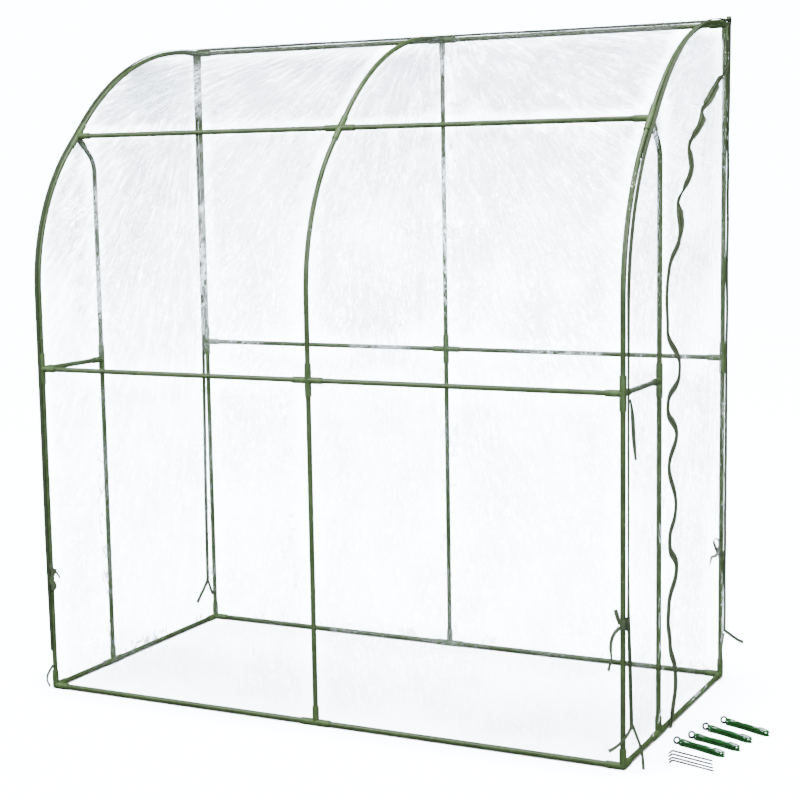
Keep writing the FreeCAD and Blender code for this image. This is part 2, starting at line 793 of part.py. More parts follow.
def tail(x, y, z, heading, reach, drop):
    """A tail that starts a gap under a folded tape's lower end and hangs out along a heading."""
    thickness, start = value("ribbon_thickness"), Vector(x, y, z)
    across = heading.cross(UP)
    middle = start + heading * (reach * 0.4) - UP * (drop * 0.6)
    hanging = strip(start, middle, start + heading * reach - UP * drop, across, value("tail_width"), thickness)
    top = hanging.BoundBox.ZMax
    hanging.translate(across * (-thickness / 2) + UP * (z - value("cover_gap") - top))
    return hanging


def tails():
    """Two tails at the lower end of each folded tape."""
    strips = []
    x, gap = value("cover_half_length + edge_tape_width / 2"), value("cover_gap")
    front, front_z = -value("frame_depth + film_middle"), value("edge_tape_bottom")
    clear_of_film = -value("frame_depth + film_outside + ribbon_thickness") - gap
    rear, rear_z = value("film_outside - ribbon_thickness"), value("rear_tape_bottom")
    for side, inward, outward in ((1, (75, 75), (28, 118)), (-1, (30, 60), (15, 95))):
        strips.append(tail(side * x, clear_of_film, front_z, -ALONG * side, *inward))
        strips.append(tail(side * (x + 2), front, front_z, ALONG * side, *outward))
    # the forward tails hang inside the cover, where the door can't meet them
    inside_x = value("bay_length + film_inside - ribbon_thickness / 2") - gap
    inside_y = value("film_inside - tail_width / 2") - gap
    for side, forward, outward in ((1, (50, 105), (80, 42)), (-1, (30, 90), (50, 70))):
        strips.append(tail(side * inside_x, inside_y, rear_z, -BACK, *forward))
        strips.append(tail(side * (x + 3), rear, rear_z, ALONG * side, *outward))
    return strips


def ribbon_ties():
    """Ties round three uprights and a side rail, and the tails under the folded tapes."""
    end, front = value("bay_length"), -value("frame_depth")
    rail_height = value("base_height + middle_height")
    side_y = front + value("side_tie_place")
    strips = (
        tie(Vector(end, front, value("front_tie_height")), UP, -ALONG, value("front_tie_tail"))
        + tie(Vector(-end, front, value("left_tie_height")), UP, ALONG, value("left_tie_tail"))
        + tie(Vector(end, 0, value("rear_tie_height")), UP, -ALONG, value("rear_tie_tail"))
        + tie(Vector(end, side_y, rail_height), BACK, -ALONG, value("side_tie_tail"))
        + tails()
    )
    return plain_feature("ribbon_ties", Part.makeCompound(strips), ("0", "0", "0"))


# Ropes and pegs


def s_bend(start, end):
    """Two opposite arcs from start to end, level with X at both."""
    middle = (start + end) / 2
    ahead = ALONG * math.copysign(1, end.x - start.x)
    aside = end - start - ALONG * (end.x - start.x)
    if aside.Length < 1e-6:
        return [Part.LineSegment(start, end).toShape()]
    chord, aside = (middle - start).Length, aside.normalize()
    slope = math.asin((end - start).dot(aside) / (2 * chord))
    bow = ahead * (chord / 2) + aside * (chord / 2 * math.tan(slope / 2))
    return [Part.Arc(start, start + bow, middle).toShape(), Part.Arc(middle, end - bow, end).toShape()]


def loop_side(start, end):
    """One long side of a hank's loop, drawn in at the waist, climbing evenly if its ends differ in height."""
    waist = (start + end) / 2
    waist.y *= WAIST
    return s_bend(start, waist) + s_bend(waist, end)


def half_turn(start, far_y):
    """The turn at a hank's end, from one long side to the next."""
    out = ALONG * math.copysign(abs(far_y - start.y) / 2, start.x)
    end = Vector(start.x, far_y, start.z)
    return Part.Arc(start, (start + end) / 2 + out, end).toShape()


def hank_path():
    """The rope's line: flat loops that spiral out, in, out and in again, climbing a layer along a side."""
    rise, half = value("rope_step"), value("hank_run") / 2
    lane = value("rope_step") / WAIST
    lead = Vector(-half, -lane, 0)
    spot = lead + ALONG * value("rope_diameter")
    edges = [Part.LineSegment(lead, spot).toShape()]
    edges += loop_side(spot, Vector(half, -lane, 0))
    spot = Vector(half, -lane, 0)
    radius, growing = lane, 1
    for layer in range(HANK_LAYERS):
        for turn in range(3):
            far_y = spot.y - math.copysign(2 * radius, spot.y)
            edges.append(half_turn(spot, far_y))
            spot = Vector(spot.x, far_y, spot.z)
            if turn < 2:
                radius += growing * lane / 2
            elif layer == HANK_LAYERS - 1:
                break
            climb = rise if turn == 2 else 0
            target = Vector(-spot.x, spot.y, spot.z + climb)
            edges += loop_side(spot, target)
            spot = target
        growing = -growing
    edges.append(Part.LineSegment(spot, Vector(spot.x / 2, spot.y, spot.z)).toShape())
    return Part.Wire(edges)


def least_gap(path):
    """The smallest distance between two stretches of the rope that aren't neighbours along it."""
    spots = path.discretize(Number=1800)
    apart = int(3 * value("rope_diameter") * len(spots) / path.Length) + 2
    nearest = min(
        spots[i].distanceToPoint(spots[j]) for i in range(len(spots)) for j in range(i + apart, len(spots))
    )
    return nearest - value("rope_diameter")


def rope_hank():
    """One rope wound in a hank, as one unbroken tube."""
    path = hank_path()
    start = path.Edges[0].valueAt(path.Edges[0].FirstParameter)
    section = Part.Wire(Part.makeCircle(value("rope_diameter / 2"), start, ALONG))
    rope = path.makePipeShell([section], True, False)
    print(f"hank: rope {path.Length:.0f} mm, least gap {least_gap(path):.2f} mm, volume {rope.Volume:.0f} mm3,"
          f" section times length {math.pi / 4 * value('rope_diameter') ** 2 * path.Length:.0f} mm3")
    return rope


def loose_kit():
    """Four hanks with their rings, and four pegs, lying on the floor beyond the right end."""
    nodes, rings = [], []
    rope = rope_hank()
    # from a ring's centre to its hank's: the widest end loop reaches one and a half lanes past the run
    lanes = value("1.5 * rope_step") / WAIST
    reach = value("hank_run / 2 + (rope_diameter + ring_diameter + ring_wire) / 2 + cover_gap") + lanes
    for index, (x, y, angle) in enumerate(HANK_PLACES, 1):
        turn = turn_z(angle)
        ahead = turn.multVec(ALONG) * reach
        where = (f"bay_length + {x + ahead.x}", f"{y + ahead.y} - frame_depth", "rope_diameter / 2")
        hank = doc.addObject("Part::Feature", f"rope_hank_{index}")
        hank.Shape = rope
        nodes.append(put(hank, where, turn))
        ring_loop = doc.addObject("Part::Torus", "Ring")
        drive(ring_loop, "Radius1", "(ring_diameter - ring_wire) / 2")
        drive(ring_loop, "Radius2", "ring_wire / 2")
        lean = Rotation(ALONG, RING_LEAN)
        height = f"(ring_diameter - ring_wire) / 2 * sin({RING_LEAN}) + ring_wire / 2"
        rings.append(put(ring_loop, (f"bay_length + {x}", f"{y} - frame_depth", height), lean))
    peg = ground_peg()
    pegs = [
        link(peg, (f"bay_length + {x}", f"{y} - frame_depth", "peg_wire / 2"), turn_z(angle))
        for x, y, angle in PEG_PLACES
    ]
    return nodes + [group("rope_rings", rings), group("ground_pegs", pegs)]


def ground_peg():
    """A wire peg lying flat: a long shank from its point, and a short leg bent back a little past square."""
    body = doc.addObject("PartDesign::Body", "Peg")
    section = new_sketch(body, "YZ_Plane")
    circle(section, "peg_wire / 2")
    path = new_sketch(body, "XY_Plane")
    run(
        path,
        180,
        [
            ("line", "peg_length - peg_bend_radius"),
            ("arc", "peg_bend_radius", 100),
            ("line", "peg_leg - peg_bend_radius"),
        ],
    )
    wire = body.newObject("PartDesign::AdditivePipe", "Wire")
    wire.Profile = section
    wire.Spine = (path, [])
    return body


def check(nodes):
    """Stops where an object failed or a piece isn't a sound solid."""
    for thing in doc.Objects:
        if any(word in thing.State for word in ("Invalid", "Error")):
            raise RuntimeError(f"{thing.Label} failed: {thing.State}")
    for node in nodes:
        shape = node.Shape
        if shape.isNull() or not shape.isValid() or not shape.Solids:
            raise RuntimeError(f"{node.Label} isn't a sound solid")


def main():
    nodes = frame_tubes() + fittings() + cover() + [ribbon_ties()] + loose_kit()
    doc.recompute()
    check(nodes)
    os.makedirs("parts", exist_ok=True)
    for node in nodes:
        node.Shape.exportStep(f"parts/{node.Label}.step")
    print(f"{len(nodes)} parts written")


main()
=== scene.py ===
import json
import math

import bpy
import numpy as np
from mathutils import Matrix, Vector, noise

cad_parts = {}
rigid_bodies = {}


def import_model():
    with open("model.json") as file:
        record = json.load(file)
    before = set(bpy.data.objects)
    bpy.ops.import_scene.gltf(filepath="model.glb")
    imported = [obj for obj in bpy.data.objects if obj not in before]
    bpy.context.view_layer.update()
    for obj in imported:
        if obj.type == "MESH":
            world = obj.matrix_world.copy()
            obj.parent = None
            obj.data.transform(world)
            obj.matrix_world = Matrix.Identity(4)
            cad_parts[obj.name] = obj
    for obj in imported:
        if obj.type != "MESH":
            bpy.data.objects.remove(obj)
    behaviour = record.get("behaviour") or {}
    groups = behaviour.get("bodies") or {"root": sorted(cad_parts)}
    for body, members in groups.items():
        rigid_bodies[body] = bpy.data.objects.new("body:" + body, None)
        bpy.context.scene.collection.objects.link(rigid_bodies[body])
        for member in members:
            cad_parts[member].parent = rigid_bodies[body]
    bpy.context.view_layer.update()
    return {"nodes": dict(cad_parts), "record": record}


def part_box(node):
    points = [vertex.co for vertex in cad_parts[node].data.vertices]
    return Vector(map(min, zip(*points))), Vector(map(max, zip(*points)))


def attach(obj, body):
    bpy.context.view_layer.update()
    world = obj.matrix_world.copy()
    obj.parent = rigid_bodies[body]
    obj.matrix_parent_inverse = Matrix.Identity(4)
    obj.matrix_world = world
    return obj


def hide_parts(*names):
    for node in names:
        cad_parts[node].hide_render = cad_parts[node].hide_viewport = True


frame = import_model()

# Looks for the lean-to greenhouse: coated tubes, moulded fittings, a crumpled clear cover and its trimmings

X, Y, Z = Vector((1, 0, 0)), Vector((0, 1, 0)), Vector((0, 0, 1))
MM = 0.001


def middle(node):
    """The middle of a node's box."""
    low, high = (Vector(corner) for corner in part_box(node))
    return (low + high) / 2


# The frame's own sizes, read from its nodes
END = middle("front_upright_right").x
FRONT = middle("front_upright_right").y
POST = middle("door_post_lower_right").y
BASE = middle("base_rails_front").z
RAIL = middle("middle_rails_front").z
ARCH = middle("arch_rails")
RIDGE = middle("ridge_rails").z
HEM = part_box("front_roof_sheet")[0][2]
COVER_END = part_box("front_roof_sheet")[1][0]
HALF_RIGHT = math.sqrt(0.5)

# Bends of the arches, as the frame has them
LOWER_BEND = 650 * MM
ARCH_TIP = 64 * MM
UPPER_BEND = (-ARCH.y - ARCH_TIP * (1 + HALF_RIGHT)) / HALF_RIGHT
SPRING = ARCH.z - (LOWER_BEND + ARCH_TIP) * HALF_RIGHT

# Where the film lies, outside the tubes' centre-lines
FILM_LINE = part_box("back_sheet")[1][1] - 0.5 * MM


def grown(value, start, span):
    """0 up to the start, then rising to 1 over the span."""
    return min(1.0, max(0.0, (value - start) / span))


def read_off(value, line):
    """What a line of (place, value) pairs gives at a place; it is held at both ends."""
    places, values = zip(*line)
    return float(np.interp(value, places, values))


# Materials


def linear(hexcode):
    """A hex colour as the renderer's linear numbers."""
    channels = [int(hexcode[i:i + 2], 16) / 255 for i in (1, 3, 5)]
    return [c / 12.92 if c <= 0.04045 else ((c + 0.055) / 1.055) ** 2.4 for c in channels] + [1.0]


def add(tree, kind, settings=None, sockets=None):
    """Adds a node: settings are its properties, sockets its inputs by name or number, as values or links."""
    node = tree.nodes.new(kind)
    for name, setting in (settings or {}).items():
        setattr(node, name, setting)
    for name, given in (sockets or {}).items():
        if isinstance(given, bpy.types.NodeSocket):
            tree.links.new(given, node.inputs[name])
        else:
            node.inputs[name].default_value = given
    return node


def new_material(name):
    """A material with an empty tree, and its tree."""
    material = bpy.data.materials.new(name)
    material.use_nodes = True
    material.node_tree.nodes.clear()
    return material, material.node_tree


def finished(material, **sockets):
    """The material with its surface shader, whose sockets are given by name."""
    tree = material.node_tree
    given = {name.replace("_", " "): value for name, value in sockets.items()}
    surface = add(tree, "ShaderNodeBsdfPrincipled", sockets=given).outputs[0]
    add(tree, "ShaderNodeOutputMaterial", sockets={"Surface": surface})
    return material


def ramp(tree, factor, stops):
    """A colour ramp: stops are (position, hex colour)."""
    node = add(tree, "ShaderNodeValToRGB", sockets={"Fac": factor})
    elements = node.color_ramp.elements
    while len(elements) < len(stops):
        elements.new(0.5)
    for element, (position, colour) in zip(elements, stops):
        element.position = position
        element.color = linear(colour)
    return node.outputs["Color"]


def level(tree, given, low, high, to_low=0.0, to_high=1.0):
    """A value moved from one range to another, held at its ends."""
    node = add(
        tree,
        "ShaderNodeMapRange",
        {"interpolation_type": "SMOOTHSTEP"},
        {"Value": given, "From Min": low, "From Max": high, "To Min": to_low, "To Max": to_high},
    )
    return node.outputs["Result"]


def maths(tree, operation, first, second=0.5, third=0.5):
    node = add(tree, "ShaderNodeMath", {"operation": operation}, {0: first, 1: second, 2: third})
    return node.outputs[0]


def chained(tree, operation, first, *others):
    """One value from several, such as their product."""
    for other in others:
        first = maths(tree, operation, first, other)
    return first


def mixed(tree, share, first, second):
    """Two colours mixed: share is how much there is of the second."""
    return add(tree, "ShaderNodeMix", {"data_type": "RGBA"}, {0: share, 6: first, 7: second}).outputs[2]


def object_place(tree):
    return add(tree, "ShaderNodeTexCoord").outputs["Object"]


def grain(tree, place, cell, detail=3.0, roughness=0.6, stretch=(1, 1, 1)):
    """Noise with cells of about a size in metres, stretched along the axes."""
    mapped = add(tree, "ShaderNodeMapping", sockets={"Vector": place, "Scale": stretch})
    given = {"Vector": mapped.outputs[0], "Scale": 1 / cell, "Detail": detail, "Roughness": roughness}
    return add(tree, "ShaderNodeTexNoise", sockets=given).outputs["Fac"]


def bump(tree, height, depth, strength=1.0, normal=None):
    sockets = {"Height": height, "Distance": depth, "Strength": strength}
    if normal:
        sockets["Normal"] = normal
    return add(tree, "ShaderNodeBump", sockets=sockets).outputs["Normal"]


def powder_coated_steel():
    """Green polyester powder on steel tube: an orange-peel skin with soft highlights and light scuffs."""
    material, tree = new_material("powder_coated_steel")
    place = object_place(tree)
    # the peel's cells are about 1 mm across, drawn at 4 mm so that they show
    peel = grain(tree, place, 4 * MM, 2.0)
    mottle = grain(tree, place, 60 * MM, 4.0)
    scuffs = level(tree, grain(tree, place, 12 * MM, 5.0, 0.7), 0.60, 0.72)
    colour = ramp(tree, mottle, [(0.3, "#3a4c2b"), (0.5, "#435733"), (0.7, "#4c613b")])
    return finished(
        material,
        Base_Color=mixed(tree, maths(tree, "MULTIPLY", scuffs, 0.35), colour, linear("#8ea07a")),
        Roughness=level(tree, mottle, 0.2, 0.8, 0.34, 0.48),
        Normal=bump(tree, peel, 0.15 * MM, 0.4),
    )


def moulded_polypropylene():
    """Green moulded plastic: a shade lighter and duller than the tubes, with faint flow marks."""
    material, tree = new_material("moulded_polypropylene")
    place = object_place(tree)
    flow = grain(tree, place, 22 * MM, 3.0, 0.5, (1, 1, 0.4))
    spark = grain(tree, place, 2.5 * MM, 2.0)
    return finished(
        material,
        Base_Color=ramp(tree, flow, [(0.3, "#3e5630"), (0.55, "#496237"), (0.75, "#546e40")]),
        Roughness=level(tree, flow, 0.2, 0.8, 0.42, 0.56),
        Normal=bump(tree, spark, 0.1 * MM, 0.3),
        Specular_IOR_Level=0.45,
    )


def fold_line(tree, fold, width):
    """Thin lines where a pattern crosses its middle value: 1 on the line, 0 beside it."""
    off = maths(tree, "ABSOLUTE", maths(tree, "SUBTRACT", fold, 0.5))
    return level(tree, off, 0.0, width, 1.0, 0.0)


def clear_pvc_film():
    """Clear PVC film: it mirrors more at a slant, and its creases take in the bright surroundings."""
    material, tree = new_material("clear_pvc_film")
    place = object_place(tree)
    folds = add(tree, "ShaderNodeUVMap", {"uv_map": "folds"}).outputs["UV"]
    slack, haze_and_shade, rucks = (
        add(tree, "ShaderNodeAttribute", {"attribute_name": name}).outputs["Fac"]
        for name in ("slack", "haze_and_shade", "rucks")
    )
    # folds run away from where the film hangs: one coordinate is an angle, the other a distance
    long_fold = grain(tree, folds, 1.0, 3.0, 0.55, (44, 5.0, 1))
    fine_fold = grain(tree, folds, 1.0, 2.0, 0.5, (120, 22, 1))
    small_fold = grain(tree, place, 30 * MM, 4.0, 0.6)
    long_line = fold_line(tree, long_fold, 0.055)
    fine_line = fold_line(tree, fine_fold, 0.085)
    small_line = fold_line(tree, small_fold, 0.045)
    lines = chained(tree, "MAXIMUM", long_line, fine_line, small_line)
    # they show where the film hangs slack, and more in some patches than in others
    patches = level(tree, grain(tree, place, 260 * MM, 3.0, 0.5), 0.38, 0.60, 0.3, 1.0)
    where = maths(tree, "MULTIPLY", patches, slack)
    # short strokes stand in tufts where the film is rucked over a tube
    stroke = fold_line(tree, grain(tree, place, 34 * MM, 1.0, 0.5, (1.0, 1.0, 0.6)), 0.07)
    tufts = level(tree, grain(tree, place, 70 * MM, 1.0, 0.5), 0.50, 0.55)
    strokes = chained(tree, "MULTIPLY", stroke, tufts, rucks)
    crease = maths(tree, "MAXIMUM", maths(tree, "MULTIPLY", lines, where), strokes)
    waves = bump(tree, long_fold, 12 * MM, 0.7)
    normal = bump(tree, small_fold, 5 * MM, 0.6, waves)
    facing = add(tree, "ShaderNodeLayerWeight", sockets={"Blend": 0.5, "Normal": normal}).outputs["Facing"]
    slant = maths(tree, "POWER", facing, 4.0)
    # the haze and its painted shade are broken by clear dabs, which are painted highlights: the film is drawn
    # clearer there, so the bright backdrop shows through
    painted_highlight_dabs = level(tree, grain(tree, folds, 1.0, 3.0, 0.6, (34, 7, 1)), 0.48, 0.60, 1.0, 0.2)
    veil = maths(tree, "MULTIPLY_ADD", maths(tree, "MULTIPLY", haze_and_shade, painted_highlight_dabs), 0.30, 0.02)
    # film that is stretched over a tube mirrors less than film that hangs free
    hanging_free = level(tree, slack, 0.0, 0.35, 0.25, 1.0)
    mirror = maths(tree, "MULTIPLY", maths(tree, "MULTIPLY_ADD", slant, 0.32, veil), hanging_free)
    return finished(
        material,
        Base_Color=linear("#f4f8fb"),
        Metallic=maths(tree, "SUBTRACT", 1.0, crease),
        Transmission_Weight=crease,
        Roughness=0.06,
        Normal=normal,
        Alpha=maths(tree, "MINIMUM", maths(tree, "MULTIPLY_ADD", crease, 0.7, mirror), 1.0),
    )


def woven_tape(name, dark, light, thread=0.9 * MM):
    """Woven polypropylene tape: the bumps of its threads, a dull sheen and uneven wear."""
    material, tree = new_material(name)
    place = object_place(tree)
    # the threads are about 0.4 mm apart, drawn wider so that they show
    given = {"Vector": place, "Scale": 1 / thread}
    weave = add(tree, "ShaderNodeTexVoronoi", {"distance": "CHEBYCHEV"}, given).outputs["Distance"]
    wear = grain(tree, place, 18 * MM, 4.0)
    return finished(
        material,
        Base_Color=ramp(tree, wear, [(0.3, dark), (0.7, light)]),
        Roughness=0.75,
        Normal=bump(tree, weave, 0.25 * MM, 0.6),
        Sheen_Weight=0.04,
        Sheen_Roughness=0.5,
    )


def mottled(name, dark, light, patch, detail, **finish):
    """A surface that varies a little in colour and height from patch to patch."""
    material, tree = new_material(name)
    patches = grain(tree, object_place(tree), patch, detail)
    return finished(
        material,
        Base_Color=ramp(tree, patches, [(0.3, dark), (0.7, light)]),
        Normal=bump(tree, patches, 0.1 * MM, 0.3),
        **finish,
    )


def nylon(name, dark, light):
    """Nylon of the zip's coil and of sewing thread: a little waxy, and uneven in its dye."""
    return mottled(name, dark, light, 9 * MM, 3.0, Roughness=0.45)


def dull_steel(name, dark, light, metallic):
    """Steel or zinc with a dull skin and a grey bloom."""
    return mottled(name, dark, light, 6 * MM, 4.0, Metallic=metallic, Roughness=0.5)


# Meshes


def put_in_scene(name, data):
    obj = bpy.data.objects.new(name, data)
    bpy.context.scene.collection.objects.link(obj)
    return obj


def drawn_mesh(obj):
    """A mesh of what an object is drawn as."""
    return bpy.data.meshes.new_from_object(obj.evaluated_get(bpy.context.evaluated_depsgraph_get()))


def new_piece(name, vertices, faces, material):
    """A smooth mesh piece with its place in its vertices."""
    mesh = bpy.data.meshes.new(name)
    mesh.from_pydata([tuple(v) for v in vertices], [], faces)
    mesh.validate()
    mesh.materials.append(material)
    mesh.shade_smooth()
    return put_in_scene(name, mesh)


def grid_faces(rows, columns):
    """Faces of a grid of vertices kept row by row."""
    return [
        (r * columns + c, r * columns + c + 1, (r + 1) * columns + c + 1, (r + 1) * columns + c)
        for r in range(rows - 1)
        for c in range(columns - 1)
    ]


def spaced(start, end, step):
    """Evenly spaced values from start to end, about a step apart."""
    count = max(2, int(round(abs(end - start) / step)) + 1)
    return list(np.linspace(start, end, count))


# Paths, strips and ropes


def drawn_spots(curve):
    """The spots that a curve is drawn through."""
    obj = put_in_scene(curve.name, curve)
    mesh = drawn_mesh(obj)
    spots = [vertex.co.copy() for vertex in mesh.vertices]
    bpy.data.objects.remove(obj)
    bpy.data.meshes.remove(mesh)
    return spots


def along(points, step, smooth=True):
    """Evenly spaced spots along a NURBS spline with these control points, or along the straight runs."""
    curve = bpy.data.curves.new("path", "CURVE")
    curve.dimensions = "3D"
    spline = curve.splines.new("NURBS" if smooth else "POLY")
    spline.points.add(len(points) - 1)
    for point, spot in zip(spline.points, points):
        point.co = (*spot, 1)
    if smooth:
        spline.order_u = 3
        spline.use_endpoint_u = True
        spline.resolution_u = 10
    spots = np.array([spot[:] for spot in drawn_spots(curve)])
    lengths = np.concatenate([[0], np.cumsum(np.linalg.norm(np.diff(spots, axis=0), axis=1))])
    places = np.linspace(0, lengths[-1], max(2, int(round(lengths[-1] / step)) + 1))
    return [Vector(spot) for spot in zip(*(np.interp(places, lengths, spots[:, axis]) for axis in range(3)))]


def headings(spots):
    """The direction of travel at each spot."""
    pairs = [(spots[max(i - 1, 0)], spots[min(i + 1, len(spots) - 1)]) for i in range(len(spots))]
    return [(after - before).normalized() for before, after in pairs]


def travel(spots):
    """The distance travelled at each spot."""
    total, distances = 0.0, [0.0]
    for before, after in zip(spots, spots[1:]):
        total += (after - before).length
        distances.append(total)
    return distances


def skin(name, rings, material, closed=False):
    """A surface over rings of spots, which is capped at both ends, or joined round where it is closed."""
    around, count = len(rings[0]), len(rings)
    faces = []
    for i in range(count if closed else count - 1):
        here, ahead = i * around, (i + 1) % count * around
        for k in range(around):
            after = (k + 1) % around
            faces.append((here + k, here + after, ahead + after, ahead + k))
    if not closed:
        faces.append(tuple(range(around - 1, -1, -1)))
        faces.append(tuple(range((count - 1) * around, count * around)))
    return new_piece(name, [spot for ring in rings for spot in ring], faces, material)


def strip(name, spots, across, widths, thickness, material):
    """A flat strip along the spots: across is the direction of its width at each spot."""
    rings = []
    for spot, way, side, width in zip(spots, headings(spots), across, widths):
        side = (side - way * side.dot(way)).normalized()
        half, lift = side * (width / 2), way.cross(side) * (thickness / 2)
        rings.append([spot - half - lift, spot + half - lift, spot + half + lift, spot - half + lift])
    piece = skin(name, rings, material)
    piece.data.set_sharp_from_angle(angle=math.radians(50))
    return piece


def join_pieces(name, pieces):
    """Makes one piece of several, in the first one's place in the scene."""
    with bpy.context.temp_override(
        active_object=pieces[0], selected_objects=pieces, selected_editable_objects=pieces
    ):
        bpy.ops.object.join()
    pieces[0].name = pieces[0].data.name = name
    return pieces[0]


def turned(direction, about, angle):
    return Matrix.Rotation(angle, 3, about) @ direction


# Film

# How far apart the film's vertices are: on the front, the roof and the door, and on the other panels
ROOF_STEP = 13 * MM
PANEL_STEP = 14 * MM

# The tubes that hold an end panel, as (axis, place): 0 for an upright's y, 1 for a rail's height
END_HELD = [(0, FRONT), (0, POST), (0, 0), (1, BASE), (1, RIDGE)]


def cover_line(step):
    """Up the front and over the roof at the tubes' centre-lines: places, each with its outward direction."""
    spots = [(Vector((0, FRONT, z)), -Y) for z in spaced(HEM, SPRING, step)]
    bends = [
        (Vector((0, FRONT + LOWER_BEND, SPRING)), LOWER_BEND, 180, 135),
        (Vector((0, -ARCH_TIP, RIDGE - UPPER_BEND)), UPPER_BEND, 135, 90),
    ]
    for centre, radius, start, end in bends:
        for angle in spaced(math.radians(start), math.radians(end), step / radius):
            out = Y * math.cos(angle) + Z * math.sin(angle)
            spots.append((centre + out * radius, out))
    spots.append((Vector((0, FILM_LINE, RIDGE)), Z))
    even = [spots[0]]
    for spot, out in spots[1:]:
        gap = (spot - even[-1][0]).length
        if gap < 1e-6:
            continue
        last, before = even[-1]
        parts = max(1, int(round(gap / step)))
        for part in range(1, parts + 1):
            even.append((last.lerp(spot, part / parts), before.lerp(out, part / parts).normalized()))
    return even


def crumple(u, v, seed):
    """How far the film stands off its stretched line, in metres: broad sags and sharp creases."""
    broad = noise.fractal(Vector((u * 2.1, v * 2.1, seed)), 1.0, 2.0, 2)
    crease = noise.ridged_multi_fractal(Vector((u * 5.5, v * 5.5, seed + 7)), 1.0, 2.2, 3, 1.0, 2.0)
    return broad * 3.5 * MM + (crease - 1.1) * 1.1 * MM


def near_frame(u, v, lines):
    """0 on the tubes that hold the film, rising to 1 some way off: lines are (axis, place)."""
    nearest = min(abs((u, v)[axis] - place) for axis, place in lines)
    return grown(nearest, 18 * MM, 50 * MM) ** 1.2


def film_piece(name, rows, material, top):
    """A film from rows of (place, u, v, slack, haze_and_shade, rucks); its creases run from the middle of its
    top.
    """
    spots = [entry for row in rows for entry in row]
    piece = new_piece(name, [entry[0] for entry in spots], grid_faces(len(rows), len(rows[0])), material)
    folds = piece.data.uv_layers.new(name="folds")
    polar = [(math.atan2(u, top - v + 40 * MM), math.hypot(u, top - v)) for _, u, v, *_ in spots]
    for loop in piece.data.loops:
        folds.data[loop.index].uv = polar[loop.vertex_index]
    for place, key in enumerate(("slack", "haze_and_shade", "rucks"), 3):
        values = piece.data.attributes.new(key, "FLOAT", "POINT")
        values.data.foreach_set("value", [entry[place] for entry in spots])
    return piece


def front_roof_film(material):
    """The front and roof sheet, held on the uprights, rails and arches, with its length from hem to ridge."""
    line = cover_line(ROOF_STEP)
    lengths = travel([spot for spot, _ in line])
    full = lengths[-1]
    arch_at = SPRING - HEM + LOWER_BEND * math.pi / 4 + ARCH_TIP
    held = [(0, -END), (0, 0), (0, END), (1, BASE - HEM), (1, RAIL - HEM), (1, arch_at), (1, full)]
    rows = []
    for (spot, out), v in zip(line, lengths):
        high = grown(spot.z, 0.9, 0.6)
        # the film is drawn hazier, and so greyer, from 1.35 m up: painted shade
        haze_and_shade = grown(spot.z, 1.35, 0.55)
        near_ridge = grown(spot.z, 2.0, 0.08)
        row = []
        for u in spaced(-COVER_END, COVER_END, ROOF_STEP):
            free = near_frame(u, v, held)
            off = FILM_LINE + crumple(u, v, 3.0) * free - 3 * MM * free
            slack = (0.38 + 0.62 * high) * free * (1 - 0.7 * near_ridge)
            row.append((spot + X * u + out * off, u, v, slack, haze_and_shade, 0.25 * free))
        rows.append(row)
    return film_piece("film_front_roof", rows, material, full), full


def rucked(u, v):
    """How crinkled an end panel is over its tubes: most low down and by the wall, not in front."""
    low = 0.9 if abs(u) < 60 * MM else 1 - grown(v, 0.6, 0.5)
    behind = grown(u, FRONT + 60 * MM, 60 * MM)
    off_tube = min(abs(u), abs(u - POST) if v < 1.6 else 1.0, abs(v - BASE))
    near = 1 - grown(off_tube, 25 * MM, 20 * MM)
    return (0.25 + 0.75 * low) * behind * near


def flat_film(name, material, place, edges, held, seed, haze_and_shade, loose=1.0):
    """A flat sheet: place turns (u, v, off) into a point, edges gives for each height v its two u limits."""
    columns = max(len(spaced(*edges(v), PANEL_STEP)) for v in (HEM, RAIL, ARCH.z))
    rows = []
    for v in spaced(HEM, RIDGE + FILM_LINE, PANEL_STEP):
        start, end = edges(v)
        row = []
        for share in np.linspace(0, 1, columns):
            u = start + (end - start) * share
            edge = min(u - min(start, end), max(start, end) - u)
            free = near_frame(u, v, held) * grown(edge, 0, 60 * MM)
            slack = (0.35 + 0.65 * grown(v, 0.7, 0.9)) * free
            off = crumple(u, v, seed) * free
            # the panels are drawn hazier, and so greyer, from 1.3 m up: painted shade
            row.append((place(u, v, off), u, v, slack * loose, haze_and_shade + 0.6 * grown(v, 1.3, 0.7), rucked(u, v)))
        rows.append(row)
    return film_piece(name, rows, material, RIDGE)


def front_edge(z):
    """The cover's front line at a height, as y."""
    if z <= SPRING:
        return FRONT - FILM_LINE
    rise = z - SPRING
    reach = LOWER_BEND + FILM_LINE
    if rise < reach * HALF_RIGHT:
        return FRONT + LOWER_BEND - math.sqrt(reach ** 2 - rise ** 2)
    bend, drop = UPPER_BEND + FILM_LINE, z - (RIDGE - UPPER_BEND)
    if drop > bend * HALF_RIGHT:
        return -ARCH_TIP - math.sqrt(max(bend ** 2 - drop ** 2, 0))
    return ARCH.y - (FILM_LINE * math.sqrt(2)) + (z - ARCH.z)


def back_film(material):
    return flat_film(
        "film_back",
        material,
        lambda u, v, off: Vector((u, FILM_LINE + off, v)),
        lambda v: (COVER_END, -COVER_END),
        held=[(0, -END), (0, 0), (0, END), (1, BASE), (1, RAIL), (1, RIDGE)],
        seed=11.0,
        haze_and_shade=0.05,
    )


def left_end_film(material):
    return flat_film(
        "film_left_end",
        material,
        lambda u, v, off: Vector((-END - FILM_LINE - off, u, v)),
        lambda v: (FILM_LINE - 1 * MM, front_edge(v) + 1 * MM),
        held=END_HELD,
        seed=19.0,
        # the left end is drawn much hazier, and so greyer, than the other panels: painted shade
        haze_and_shade=0.7,
        loose=0.45,
    )


# The door's zip

